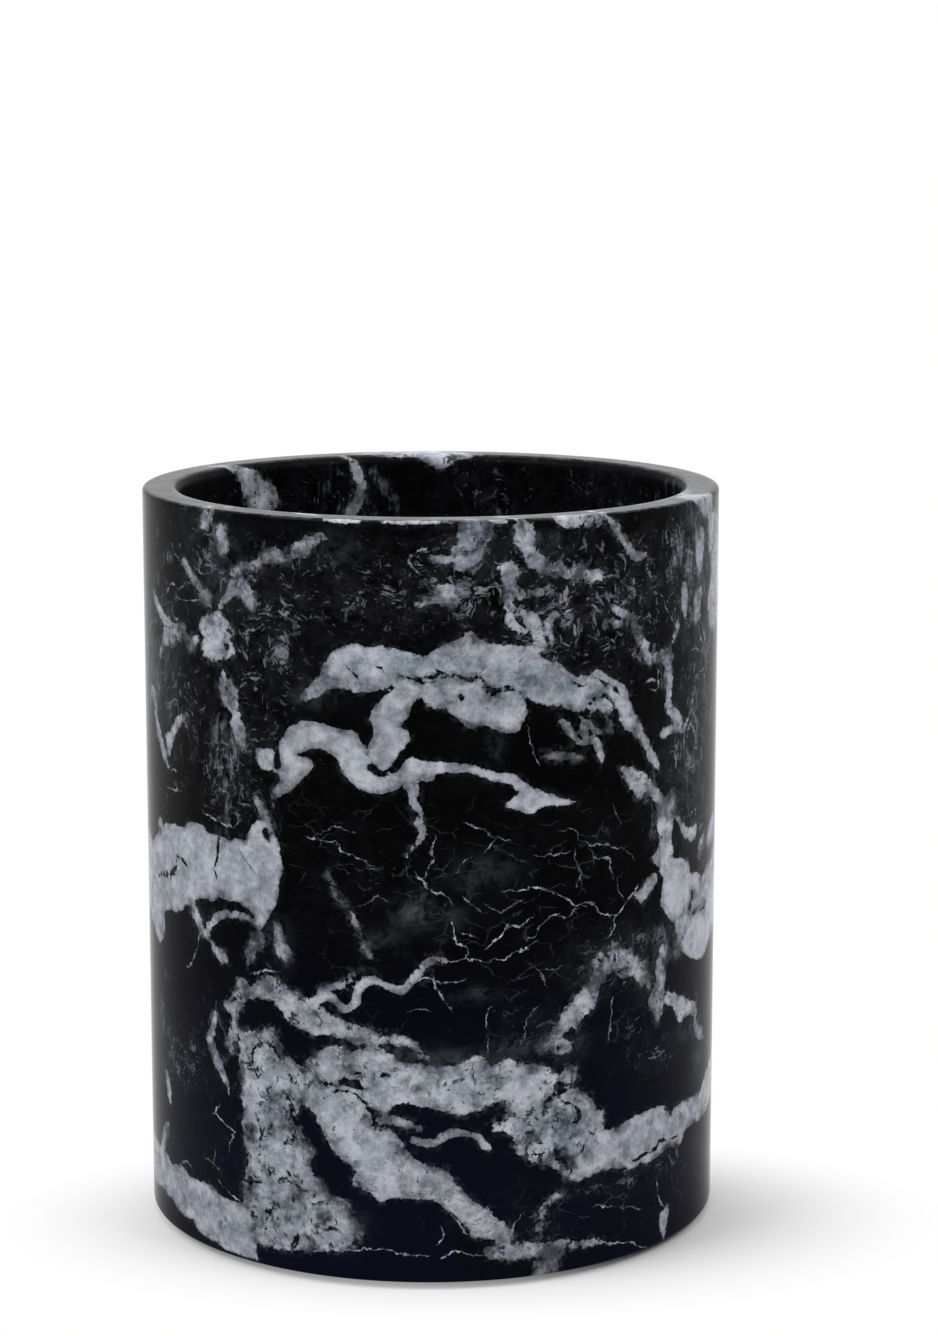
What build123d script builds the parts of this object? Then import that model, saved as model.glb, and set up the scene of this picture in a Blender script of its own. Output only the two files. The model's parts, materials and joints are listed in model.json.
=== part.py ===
"""Pen stand: a round stone cup turned from one block, standing on stick-on rubber feet.

Millimetres, +Z up. The origin is the centre of the circle of feet, on the surface
that the stand rests on. The front of the stand faces -Y.
"""

import os

from build123d import *

# Stone cup
CUP_DIAMETER = 80.0
CUP_HEIGHT = 102.0
WALL = 5.2
FLOOR = 9.0

# Edges that are ground round by hand on the stone
RIM_OUTER_ROUND = 0.5
RIM_INNER_ROUND = 1.3
BASE_ROUND = 0.5
BORE_CORNER_ROUND = 3.0

# Stick-on rubber feet, evenly spaced round the underside, anticlockwise from +X seen from above
FOOT_PLACES = ["back_right", "back_left", "front_left", "front_right"]
FOOT_DIAMETER = 12.0
FOOT_HEIGHT = 0.8
FOOT_EDGE_ROUND = 0.3
FOOT_INSET = 4.5

# Double-sided adhesive disc between each foot and the stone, set back from the foot's edge
ADHESIVE_THICKNESS = 0.2
ADHESIVE_SETBACK = 0.3

# Heights and radii that follow from the sizes above
ADHESIVE_Z = FOOT_HEIGHT
STONE_Z = ADHESIVE_Z + ADHESIVE_THICKNESS
FLOOR_Z = STONE_Z + FLOOR
RIM_Z = STONE_Z + CUP_HEIGHT
CUP_RADIUS = CUP_DIAMETER / 2
BORE_RADIUS = CUP_RADIUS - WALL
FOOT_RADIUS = FOOT_DIAMETER / 2
FOOT_CIRCLE_RADIUS = CUP_RADIUS - BASE_ROUND - FOOT_INSET - FOOT_RADIUS


def upright_cylinder(radius, height, base_z):
    """A cylinder on the Z axis that stands on base_z."""
    return Pos(0, 0, base_z) * Cylinder(radius, height, align=(Align.CENTER, Align.CENTER, Align.MIN))


def circular_edge(solid, radius, z):
    """The edge of a turned solid that is the circle of this radius at this height."""
    circles = solid.edges().filter_by(GeomType.CIRCLE)
    return circles.sort_by(lambda edge: abs(edge.radius - radius) + abs(edge.arc_center.Z - z))[0]


def stone_cup():
    """The turned stone: a blind bore in a plain cylinder, with every edge ground round."""
    cup = upright_cylinder(CUP_RADIUS, CUP_HEIGHT, STONE_Z)
    cup -= upright_cylinder(BORE_RADIUS, CUP_HEIGHT - FLOOR, FLOOR_Z)
    edge_rounds = [
        (CUP_RADIUS, RIM_Z, RIM_OUTER_ROUND),
        (BORE_RADIUS, RIM_Z, RIM_INNER_ROUND),
        (CUP_RADIUS, STONE_Z, BASE_ROUND),
        (BORE_RADIUS, FLOOR_Z, BORE_CORNER_ROUND),
    ]
    for radius, z, edge_round in edge_rounds:
        cup = fillet(circular_edge(cup, radius, z), edge_round)
    return cup


def rubber_foot():
    """One foot on the Z axis, flat on top and rounded where it meets the desk."""
    foot = upright_cylinder(FOOT_RADIUS, FOOT_HEIGHT, 0)
    return fillet(circular_edge(foot, FOOT_RADIUS, 0), FOOT_EDGE_ROUND)


def adhesive_disc():
    """One disc of double-sided adhesive on the Z axis, between foot and stone."""
    return upright_cylinder(FOOT_RADIUS - ADHESIVE_SETBACK, ADHESIVE_THICKNESS, ADHESIVE_Z)


def all_pieces():
    """Every piece of the stand by its name, each in its place."""
    pieces = {"stone_cup": stone_cup()}
    foot_step = 360 / len(FOOT_PLACES)
    for index, place in enumerate(FOOT_PLACES):
        foot_place = Rot(0, 0, foot_step * (index + 0.5)) * Pos(FOOT_CIRCLE_RADIUS, 0, 0)
        pieces[f"rubber_foot_{place}"] = foot_place * rubber_foot()
        pieces[f"adhesive_disc_{place}"] = foot_place * adhesive_disc()
    return pieces


os.makedirs("parts", exist_ok=True)
for name, piece in all_pieces().items():
    export_step(piece, f"parts/{name}.step")
    print(name, round(piece.volume, 1), "mm3")
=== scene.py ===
"""Pen stand: the look of a cup turned from veined black marble, on rubber feet.

The stone is turned on a lathe from its profile. Its veins are laid out on the unrolled wall,
in degrees round from the front and millimetres above the stone's base, and are painted onto the
mesh as attributes that the marble material roughens, clouds and cracks.
"""

import json
import math

import bpy
import numpy as np
from bpy.props import FloatProperty, FloatVectorProperty, PointerProperty
from bpy.types import Operator, Panel, PropertyGroup
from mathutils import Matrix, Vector


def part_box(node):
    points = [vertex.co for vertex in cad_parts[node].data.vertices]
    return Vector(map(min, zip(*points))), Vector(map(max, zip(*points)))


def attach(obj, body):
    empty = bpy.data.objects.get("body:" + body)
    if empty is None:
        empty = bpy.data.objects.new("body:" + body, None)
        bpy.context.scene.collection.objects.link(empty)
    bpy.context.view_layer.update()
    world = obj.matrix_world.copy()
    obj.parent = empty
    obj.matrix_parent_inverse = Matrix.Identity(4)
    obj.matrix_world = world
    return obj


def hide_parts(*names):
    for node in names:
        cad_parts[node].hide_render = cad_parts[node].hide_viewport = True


bl_info = {
    "name": "Marble Pen Stand",
    "version": (1, 0, 0),
    "blender": (4, 5, 0),
    "location": "View3D > Sidebar > Pen Stand",
    "description": "Builds a pen stand of veined black marble on rubber feet",
    "category": "Object",
}

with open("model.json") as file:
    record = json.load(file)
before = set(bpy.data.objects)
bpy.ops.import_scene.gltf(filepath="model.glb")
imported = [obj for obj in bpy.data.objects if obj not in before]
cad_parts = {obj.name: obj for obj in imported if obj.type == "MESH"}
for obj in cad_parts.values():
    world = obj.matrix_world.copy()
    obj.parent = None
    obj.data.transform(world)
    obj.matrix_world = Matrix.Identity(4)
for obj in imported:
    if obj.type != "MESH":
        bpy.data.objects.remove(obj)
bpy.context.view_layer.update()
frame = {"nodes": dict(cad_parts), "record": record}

MM = 0.001

# Sizes of the stone that the frame gives
STONE_LOW, STONE_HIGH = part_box("stone_cup")
CUP_RADIUS = (STONE_HIGH.x - STONE_LOW.x) / 2
BASE_Z = STONE_LOW.z
RIM_Z = STONE_HIGH.z
BORE = next(mount for mount in frame["record"]["mounts"] if mount["name"] == "cup_bore")
BORE_RADIUS = BORE["dims"]["r_mm"] * MM
BORE_WALL_Z = BORE["pos_m"][2] - BORE["dims"]["length_mm"] * MM / 2

FOOT_PLACES = ["back_right", "back_left", "front_left", "front_right"]

# How finely the stone is turned: columns round it, and the step between rows on each stretch
COLUMNS = 392
WALL_STEP = 0.64 * MM
BORE_STEP = 1.2 * MM
BORE_SEEN = 40 * MM
DEEP_STEP = 4.0 * MM
FLAT_STEP = 3.2 * MM
RIM_STEP = 0.55 * MM
ROUND_STEPS = 5
WELD_REACH = 0.002 * MM

# Masses of white calcite: name, tone (0 grey to 1 white), mottling (0 clean to 1 broken), outline
MASSES = [
    ("arch", 0.6, 0.5, [
        (-25.5, 78.2), (-21, 81.7), (-19.9, 83.2), (-18.8, 84.5), (-17, 85.4), (-14.3, 85.8),
        (-11.2, 85.4), (-9.4, 85.8), (-7.6, 85.4), (-4.9, 85.1), (-1.3, 84.5), (0.9, 85.3), (3.1, 86.1),
        (5.4, 86.7), (7.2, 87.5), (9, 86.4), (11.6, 85.9), (17, 85.4), (22.3, 85.6), (20.2, 84.2),
        (22.8, 83.1), (25, 82.6), (28.1, 80.9), (31.2, 81.1), (33.4, 81.4), (35.2, 80.4), (37.9, 79.5),
        (39.7, 78.4), (40.9, 76.6), (41.9, 74.8), (44.2, 72.9), (45.5, 71.2), (46.9, 69.2), (49.4, 66.5),
        (47.8, 67.9), (46, 69.5), (44.2, 71), (41.9, 72.5), (39.7, 73.1), (38.5, 74.2), (38, 76),
        (37, 77.2), (35.7, 78.2), (33.4, 78.5), (31.5, 77.8), (29, 76.4), (26.7, 76.7), (24.9, 77.6),
        (22.8, 77.5), (20.2, 78.2), (18.4, 78.6), (15.5, 80.2), (13, 80.4), (11, 80), (9.5, 81.5),
        (8.5, 82.3), (6.5, 81.8), (3.5, 82.2), (1, 82.6), (-1.5, 82), (-3.5, 81.6), (-5.6, 81.9),
        (-8, 80.6), (-10.7, 80), (-13.4, 79.7), (-16.1, 80), (-18.4, 80.4), (-20.4, 79.5), (-23, 78.4)]),
    ("arch_lobes", 0.62, 0.4, [
        (-2, 81.6), (0, 81.3), (2.5, 81.6), (5, 81.7), (7.5, 81.2), (9, 81.6), (10, 80.2), (11.3, 78.9),
        (13, 79.5), (15, 79.8), (17.2, 78.9), (17.9, 77), (17.5, 75.8), (16.6, 74.5), (14.8, 74.3),
        (12.5, 74.5), (10.8, 75.3), (8.5, 75.3), (6.7, 75.1), (4.9, 76.4), (3.1, 77.6), (4.6, 78.4),
        (2.8, 77.9), (0.9, 77.8), (-0.9, 78.1), (-1.7, 79), (-1.9, 80.2)]),
    ("arch_right_lobe", 0.6, 0.5, [
        (30, 76.6), (31.2, 77.7), (33, 78.7), (35.4, 78.6), (36.8, 77.4), (36.2, 75.9), (34.6, 75.9),
        (33.2, 76.5), (31.6, 75.9)]),
    ("branch", 0.66, 0.25, [
        (-5.6, 81.4), (-2.4, 81), (-2.2, 79.5), (-3.6, 78.3), (-4.5, 76.7), (-6.5, 75.4), (-4.9, 75.1),
        (-4.1, 74.3), (-4.7, 73.1), (-6.3, 71.5), (-7.6, 70.1), (-9, 69.5), (-10.3, 70.1), (-11.4, 71.1),
        (-11.6, 72.6), (-10.5, 74.5), (-11.4, 76.4), (-9.8, 78.3), (-7.6, 79.7)]),
    ("snake", 0.68, 0.25, [
        (-29.8, 71.4), (-28.9, 72.9), (-27.2, 74.4), (-25.1, 75.2), (-22.6, 75.4), (-20.1, 75),
        (-17.9, 74.6), (-15.2, 74.5), (-13.9, 74.2), (-13.2, 72.9), (-12.1, 71.8), (-11, 70.6),
        (-12.3, 70.1), (-12.8, 69.5), (-11.6, 69.2), (-9.4, 68.4), (-7.6, 68.9), (-5.6, 69.8),
        (-4.9, 70.8), (-3.1, 71.2), (-2, 70.8), (0.5, 70.6), (3.6, 70.5), (7.2, 70.2), (9.4, 69.7),
        (12.1, 69), (15.2, 68.6), (17.5, 67.6), (19.7, 66.6), (21.9, 65.9), (25, 65), (26.7, 64.6),
        (28.5, 64.3), (26.7, 64), (24.9, 64.1), (22.7, 64.3), (20.6, 64), (18.8, 63.5), (16.6, 63.9),
        (13.7, 64.6), (14.8, 65.3), (16.6, 66.2), (15.7, 67.1), (13.4, 67.9), (11.2, 68.1), (9.4, 68.7),
        (7.2, 69.3), (4, 69.3), (0.9, 69.2), (-0.2, 68.1), (-1.3, 68.4), (-2.7, 68.6), (-4.9, 67.9),
        (-6.3, 67.3), (-8.5, 66.5), (-10.7, 66.4), (-13, 66.8), (-15.2, 67.9), (-17, 69.2), (-17, 70.1),
        (-18.4, 71.1), (-20.6, 71.9), (-22.8, 71.9), (-24.6, 71.5), (-26.4, 70.8), (-23.3, 70.4),
        (-22.9, 69.2), (-24.6, 68.1), (-26.4, 66.7), (-28.8, 65.5), (-30.7, 64.9), (-31, 65.9),
        (-29.4, 67.1), (-30.3, 68.4), (-28.9, 68.9), (-29.6, 69.8)]),
    ("left_block", 0.62, 0.25, [
        (-86, 51.5), (-80, 54.5), (-75, 53.6), (-72.4, 54.3), (-69.7, 55.3), (-67, 56.2), (-65.2, 57.3),
        (-62.1, 57.8), (-58.9, 57.9), (-56.3, 58.2), (-54.9, 59), (-52.2, 59.3), (-49.5, 59),
        (-48.7, 58.2), (-46, 58.4), (-43.3, 58.1), (-41.5, 57.8), (-40.1, 58.5), (-37.9, 58.4),
        (-37, 59.6), (-36.1, 60.7), (-34.3, 61.3), (-33.4, 60.6), (-34.1, 59.6), (-32.5, 58.7),
        (-30.7, 57.9), (-29.6, 56.5), (-29.4, 55.3), (-30.3, 53.4), (-30.5, 51.5), (-31.4, 49.9),
        (-32.8, 48.4), (-34.8, 46.6), (-35.9, 47.4), (-35.9, 48.5), (-37.5, 49.2), (-40.1, 49.9),
        (-42.8, 49.8), (-45.1, 49.9), (-46.9, 49.2), (-49.5, 49.2), (-52.2, 48.7), (-54.2, 48.2),
        (-56.7, 47.1), (-59.4, 45.9), (-62.1, 45.7), (-64.8, 45.4), (-66.6, 44.9), (-66.6, 43),
        (-67, 41.2), (-69.3, 40.1), (-71.5, 40.3), (-75, 41.5), (-80, 43), (-85, 46)]),
    ("block_crumb", 0.5, 0.5, [(-69.4, 57.6), (-67.4, 57.8), (-66.6, 56.6), (-68, 55.8), (-69.6, 56.2)]),
    ("ring_patch", 0.45, 0.7, [
        (-48.9, 43.8), (-46.9, 43.2), (-45.2, 42.8), (-43, 41.8), (-43.4, 40.9), (-45.5, 41.2),
        (-47.4, 42.6)]),
    ("block_foot", 0.5, 0.7, [
        (-37, 45.3), (-34.8, 46.2), (-33.4, 45.3), (-34.3, 44.3), (-36.1, 43.7), (-36.6, 42.1),
        (-37.9, 41.5), (-38.1, 43.1)]),
    ("block_drip", 0.42, 0.6, [
        (-30.7, 48.1), (-29.4, 47.1), (-28.9, 45.3), (-27.8, 44), (-28.5, 42.8), (-30.1, 43.1),
        (-30.7, 44.3), (-31.6, 44.9), (-31.4, 46.8)]),
    ("diagonal", 0.56, 0.85, [
        (-37, 38.1), (-36.1, 39), (-34.3, 39.9), (-32.5, 40.6), (-30.3, 40.3), (-28.9, 39.3),
        (-25.1, 38.3), (-23.3, 37.4), (-21, 36.8), (-18.4, 35.9), (-15.2, 35.3), (-12.1, 34.8),
        (-9.8, 34.1), (-6.7, 34), (-4.5, 33.7), (-3.1, 33), (-1.3, 31.6), (-0.4, 30.4), (-2.2, 31.3),
        (-3.6, 32.4), (-5.8, 32.9), (-9, 32.7), (-12.1, 32.6), (-15.2, 32.9), (-18.8, 33.2),
        (-21.5, 33.5), (-24.2, 33.5), (-26.4, 34.1), (-28.4, 34.8), (-30.7, 36.5), (-32.5, 37.3),
        (-34.8, 37.4), (-36.6, 36.8)]),
    ("diagonal_root", 0.45, 0.95, [
        (-44.2, 34.9), (-42.8, 36.2), (-41, 37.8), (-39.9, 39.3), (-37.9, 38.8), (-37.7, 37.4),
        (-38.8, 35.9), (-40.3, 34.8), (-40.6, 31.9), (-41.9, 30.1), (-41.7, 28.5), (-43.1, 29),
        (-43.5, 30.1), (-42.6, 32.3), (-41.9, 33.8), (-43, 34.4)]),
    ("pillar", 0.44, 1.0, [
        (-39.9, 31.9), (-38.4, 32.1), (-35.2, 32.7), (-33, 33.3), (-31.2, 33.2), (-30.1, 32.3),
        (-30.3, 30.6), (-30, 29.6), (-27.3, 29.3), (-25.1, 28.5), (-24, 26.5), (-24.8, 24.4),
        (-26.2, 23.4), (-27, 22.2), (-27.8, 21.6), (-27.3, 20.7), (-25.5, 19.3), (-24.6, 18.2),
        (-23.5, 16.9), (-24, 15.7), (-23.3, 14.4), (-21.5, 12.9), (-20.4, 11.9), (-18.6, 11.3),
        (-16.6, 10.5), (-15.4, 10.1), (-15.7, 8.8), (-14.3, 8.2), (-13.2, 7.3), (-13.7, 6.3),
        (-14.3, 5.2), (-16.1, 4.4), (-18.8, 4.1), (-22.4, 3.5), (-25.1, 3), (-29.8, 2.9), (-32.5, 3),
        (-35.2, 3.2), (-37, 3.4), (-38.6, 6.4), (-39.5, 8.2), (-39.5, 9.8), (-39.7, 11), (-39, 12.3),
        (-38.1, 14.1), (-38.6, 15.7), (-39.2, 17.9), (-39.5, 19.8), (-39, 21.3), (-39.9, 23.5),
        (-39.7, 25.4), (-40, 27.6), (-39.9, 29.8)]),
    ("central_band", 0.58, 0.8, [
        (-25.6, 24), (-25, 27.4), (-24.6, 28.8), (-24.2, 30.1), (-21.9, 31), (-19.7, 32.1), (-17, 31.8),
        (-14.8, 31.5), (-13, 32.3), (-10.3, 32.4), (-8.5, 31.6), (-5.8, 30.7), (-3.1, 30.1), (-0.4, 30.1),
        (1.3, 29.8), (4, 29.9), (5.8, 30.4), (9.4, 31.3), (9.9, 30.1), (12.5, 29.9), (14.8, 30.1),
        (17, 29.4), (19.7, 29.3), (21.9, 28.8), (23.7, 28.2), (24.8, 27.4), (24.4, 25.8), (23.3, 24.4),
        (21.9, 23.6), (19, 23.4), (16.4, 23.8), (14.8, 24.9), (12.1, 24.6), (9.4, 24), (6.7, 23.5),
        (3.1, 23.5), (0.9, 24.1), (-1.3, 24.3), (-3.1, 24.8), (-5.4, 25.1), (-7.2, 24.9), (-8.5, 23.8),
        (-11.2, 23.8), (-12.5, 24.3), (-14, 24.4), (-17, 24.4), (-21, 24.6), (-23.5, 23.8)]),
    ("lower_diagonal", 0.62, 0.65, [
        (-25.1, 24.1), (-21, 26), (-18.4, 26.3), (-15.2, 25.7), (-13.4, 24.4), (-11.6, 23.2),
        (-11.4, 21.6), (-9.8, 20.7), (-8, 21.3), (-6.7, 20.4), (-5.8, 19.8), (-4.9, 18.2), (-3.1, 17.3),
        (-0.9, 16.2), (2.2, 15.8), (3.6, 14.6), (5.4, 12.9), (7.6, 11.3), (10.3, 10.1), (12.5, 8.7),
        (14.8, 7.3), (15.2, 5.2), (13, 5.5), (10.3, 6), (7.6, 6.6), (6.3, 8.2), (4.9, 9.1), (3.1, 10.1),
        (1.3, 11.3), (-1.8, 11.9), (-4, 11.8), (-7.2, 11.9), (-9, 11.2), (-10.7, 11.8), (-12.5, 12.7),
        (-15.2, 13.5), (-14.8, 14.8), (-15.2, 16), (-17.5, 16.6), (-19.3, 18.2), (-21, 20), (-22.4, 21.9),
        (-24.2, 23.5)]),
    ("right_knot", 0.52, 0.95, [
        (14.8, 24.9), (17, 24.6), (20, 23.9), (22, 23), (23, 24.2), (24.9, 25), (28.1, 25.4),
        (30.3, 24.8), (32.1, 23.5), (33, 22.1), (35.2, 21.2), (34.6, 19.8), (35, 18.5), (33, 15.5),
        (28.8, 13.5), (25.8, 13.3), (24.5, 14.4), (22.8, 15.4), (20.6, 15.7), (18.8, 16.3), (18.4, 17.3),
        (17.3, 17.3), (15, 18.2), (16.1, 19.1), (15.2, 20.1), (13, 20.7), (11, 21.3), (12.1, 21.9),
        (14.8, 22.3), (14.1, 23.5)]),
    ("knot_crumb", 0.45, 0.9, [
        (25.2, 27.2), (26.6, 28.4), (28.4, 28.2), (28.8, 27), (27.4, 26.2), (25.8, 26.4)]),
    ("right_band", 0.62, 0.5, [
        (30, 18.2), (33, 18.6), (36, 18.6), (38.8, 18.8), (41.5, 19.3), (44.6, 19.6), (47.8, 19.6),
        (50.9, 19.8), (52.7, 19), (54.9, 18.2), (56.3, 18.7), (59.9, 18.8), (63, 18.5), (66.6, 18.5),
        (69.7, 18.2), (70.6, 19.1), (73.7, 20.4), (80, 21.5), (88, 24), (95, 27), (97, 24), (90, 19),
        (82, 16), (75, 14.8), (69.7, 14.4), (65.2, 14.8), (60.3, 14.4), (59.9, 13.5), (57.6, 13),
        (55.4, 13.3), (53.1, 13.5), (50.9, 12.9), (46.9, 12.3), (45.1, 12.9), (42.4, 12.3), (40.2, 12.9),
        (37.5, 13.2), (34.8, 13.2), (31.6, 12.9), (28.7, 12.6), (26.5, 13.2), (28, 14.6), (29, 16.4)]),
    ("base_grain", 0.55, 0.95, [
        (9.9, 4.4), (12, 4.9), (15.5, 5), (19, 4.8), (22, 4.6), (25, 4.6), (28, 4.1), (31.2, 3.7),
        (34.8, 3.3), (33, 2.9), (29, 3.2), (25, 3.4), (22, 3.1), (19, 2.7), (16, 2.9), (13, 3),
        (10.5, 3.5)]),
    ("base_blob", 0.3, 0.8, [
        (20.2, 2), (22.7, 3.2), (25.8, 3.5), (26, 2.9), (24.9, 1.3), (24.4, -1.5), (19, -1.5),
        (19.5, 0.4)]),
    ("lower_left_band", 0.6, 0.5, [
        (-86, 8.2), (-80, 10.4), (-75, 10.2), (-69.7, 9.8), (-67.9, 10), (-64.8, 9.1), (-62.1, 9.4),
        (-59.8, 9.7), (-56.7, 9.1), (-53.1, 8.8), (-50, 9.1), (-47.3, 8.5), (-44.6, 8), (-41.9, 7.9),
        (-39.7, 7.4), (-37.5, 6), (-36.6, 2.9), (-36.8, 1.9), (-36.1, 0.7), (-39.7, 0.7), (-44.2, 0.8),
        (-47.3, 1.3), (-52.2, 1.6), (-54.5, 2.4), (-54.9, 3), (-59.8, 2.9), (-62.1, 3.5), (-65.2, 4),
        (-69.7, 4.3), (-76, 4), (-83, 5)]),
    ("band_horn", 0.55, 0.4, [
        (-66.3, 15), (-66.1, 12.9), (-68.4, 11.3), (-70, 9.4), (-72.4, 9.2), (-71, 11.4), (-70.4, 12.3),
        (-68.4, 13.8)]),
    ("horn_tip", 0.6, 0.6, [
        (-67.6, 22.2), (-65.2, 21.3), (-64.6, 19.1), (-64.3, 17.6), (-66.1, 18.5), (-66.8, 20.4)]),
    ("right_wedge", 0.55, 0.75, [
        (38.4, 67.9), (41, 67.8), (43.3, 67.1), (45.1, 66.5), (46.9, 65.6), (47.3, 64.8), (45.1, 63.9),
        (44, 63.1), (42.4, 64), (41, 65.3), (39.7, 66.7)]),
    ("right_column", 0.6, 0.75, [
        (46.4, 64.3), (48.7, 64), (50.9, 62.8), (53.1, 63.1), (54.9, 62.4), (55.4, 60.6), (54.5, 59.3),
        (53.8, 57.4), (54, 55.6), (54.5, 54.3), (51.3, 52.1), (49.6, 52.8), (48.7, 54), (47.3, 54.6),
        (48.7, 55.6), (49.8, 56.8), (49.3, 58.7), (48.7, 60.6), (49.1, 62.1)]),
    ("right_cloud", 0.78, 0.25, [
        (51.3, 52.4), (54, 53.7), (56.7, 53.5), (59.4, 52.9), (61.2, 52), (61.9, 50.6), (64.8, 50.4),
        (67, 49.6), (66.1, 47.8), (64.3, 47.1), (62.4, 48.4), (61.6, 47.1), (60.3, 45.9), (57.6, 44.9),
        (55.4, 44.9), (53.1, 45.9), (51.8, 47.1), (50.5, 48.1), (50.9, 49.6), (51.1, 51.2)]),
    ("right_shelf", 0.8, 0.25, [
        (58.1, 41.8), (60.3, 43.2), (63, 44), (65.7, 44.6), (68.8, 44.3), (71, 44.6), (76, 47),
        (82, 48.5), (87, 47), (88, 43), (82, 40.6), (75, 39.3), (70.6, 37.9), (67, 37.8), (63.9, 38.4),
        (60.3, 39.5), (58.5, 40.6)]),
    ("cloud_shoulder", 0.5, 0.5, [
        (62, 50.2), (65, 49.8), (68, 49), (72, 50.4), (78, 51.5), (84, 51), (86, 47.5), (80, 46.2),
        (74, 45.8), (70, 45.2), (66.5, 45), (63.5, 45.4), (62.2, 46.8), (63.2, 48.4)]),
    ("cloud_neck", 0.45, 0.65, [
        (55.6, 45.2), (58, 45.8), (61, 45.6), (63, 44.6), (62.4, 43), (60, 42), (58, 41.2), (56.4, 41.6),
        (55.8, 43.2)]),
    ("shelf_top", 0.3, 0.6, [
        (56.8, 41.6), (57.6, 43.4), (59.5, 44.6), (61.8, 44.8), (63, 43.6), (61, 42.4), (59, 41.4),
        (57.8, 40.8)]),
    ("shelf_side", 0.25, 0.8, [
        (55.2, 40.4), (55.4, 42), (56.2, 43.4), (57.2, 42.6), (57, 41), (57.6, 39.9), (56.2, 39.6)]),
    ("edge_patch", 0.5, 0.7, [
        (66, 53.6), (67.5, 54.8), (69.6, 55.2), (70.2, 54.2), (68.6, 53), (67, 52.6)]),
    ("edge_patch_right", 0.6, 0.5, [
        (71, 54), (72.5, 55.6), (75, 56.2), (79, 57), (80, 54.5), (76, 53), (73, 53)]),
    ("cloud_smear", 0.5, 0.6, [
        (42.8, 50.2), (45, 51.4), (47.5, 52.7), (49, 52.2), (48, 50.8), (46, 49.6), (44.6, 49)]),
    ("right_hook", 0.62, 0.6, [
        (55.4, 59.6), (58, 58.5), (60.3, 57.2), (63, 57.1), (64.7, 57.2), (64.5, 56), (62.5, 55.2),
        (60, 55.8), (57.8, 57.3), (56, 58.8)]),
    ("right_stem", 0.6, 0.7, [
        (50.9, 42.4), (52.7, 41.5), (51.8, 39), (51.8, 36.5), (51.3, 34.9), (50.9, 32.9), (49.1, 31.6),
        (48.2, 33.5), (46.9, 34.4), (47.3, 35.3), (48.7, 37.1), (49.1, 39), (49.8, 40.9)]),
    ("right_stair", 0.66, 0.6, [
        (52.7, 35.9), (54, 34.9), (57.2, 34.3), (59, 33.8), (62.1, 32.6), (64.8, 32.1), (65.9, 31),
        (66.1, 29.1), (68.4, 27.9), (69.7, 27.6), (71.1, 25.7), (69.3, 26), (67, 26.3), (65.2, 27.9),
        (64.6, 30.1), (62.1, 30.7), (59.9, 30.8), (58.1, 30.4), (56.3, 31.6), (54.9, 33.2),
        (52.7, 33.8)]),
    ("right_rubble", 0.5, 0.95, [
        (24.9, 34.9), (26.3, 36.5), (29, 38.1), (31.6, 37.4), (33.4, 37.8), (32.5, 36.2), (29.9, 35.1),
        (28.1, 33.7), (25.8, 34)]),
    ("rubble_foot", 0.4, 0.95, [
        (22.7, 32.3), (25.5, 32.6), (28, 31.9), (27.2, 30.6), (24.6, 30.4), (22.9, 31.2)]),
    ("right_swirl", 0.45, 0.8, [
        (40.6, 40.9), (44.2, 41.2), (46.4, 40.9), (45.5, 39.3), (45.1, 37.8), (42.8, 39), (41, 39.9)]),
    ("corner_patch", 0.55, 0.5, [
        (51, 4.5), (52.2, 4.6), (54.5, 5), (54, 3.5), (53.3, 1.8), (52.7, 0.6), (51.9, 1.2),
        (51.3, 2.8)]),
    ("right_lightning", 0.55, 0.8, [
        (46.4, 82), (49.1, 82.6), (52.2, 83.1), (54, 84.5), (54.9, 86.1), (55.8, 85.8), (54.9, 84.2),
        (53.1, 82.9), (53.6, 81.7), (52.9, 80.4), (53.6, 78.6), (53.4, 77), (53.1, 75.4), (55.4, 73.9),
        (57.6, 72.6), (57.2, 71.8), (54.9, 72.5), (52.2, 73.9), (51.3, 75.1), (51.3, 77.3), (50.9, 79.5),
        (50.9, 80.8), (48.7, 81.4)]),
    ("lightning_leaf", 0.58, 0.4, [
        (49.1, 71.8), (52, 72.2), (55, 72.2), (57.5, 71.6), (57, 71), (54, 71.3), (51, 70.7),
        (49.8, 71.2)]),
    ("right_oval", 0.62, 0.4, [
        (57, 91.2), (58.5, 91), (59.3, 89.5), (59, 87.5), (58, 86.6), (57, 87.5), (56.8, 89)]),
    ("shoulder_column", 0.55, 0.6, [
        (62.3, 96.5), (64, 98), (66.5, 97.8), (67, 95), (66, 92.5), (64.8, 91), (63.2, 92), (63, 94.5)]),
    ("shoulder_cap", 0.5, 0.6, [
        (61.5, 101.8), (64, 103.5), (72, 103.5), (73, 100), (70, 98.8), (67, 99.2), (64.5, 100.6)]),
    ("shoulder_foot", 0.55, 0.7, [
        (62, 88.5), (63.8, 90), (66, 89.8), (65.5, 87.5), (65, 85.6), (63.4, 85), (62.4, 86.6)]),
    ("shoulder_side", 0.48, 0.75, [
        (69.5, 98), (74, 99.5), (80, 98), (86, 93), (85, 86), (78, 82.5), (71.5, 84), (70, 87.5),
        (72.5, 91), (70.5, 94.5)]),
    ("top_band", 0.56, 0.95, [
        (16.6, 103), (18.8, 100.8), (19.5, 99.2), (19.7, 97.3), (20.6, 96.2), (22.7, 96.2), (24.9, 95.6),
        (27.2, 95), (30.3, 94.5), (33.4, 94.7), (33.9, 93.3), (31.2, 93.6), (28.1, 93.7), (24.5, 94.5),
        (21.8, 95), (19.7, 95.3), (17.9, 96.1), (17, 97.3), (16.1, 98.6), (15.2, 99.2), (15.8, 101)]),
    ("top_drip", 0.58, 0.9, [
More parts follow.
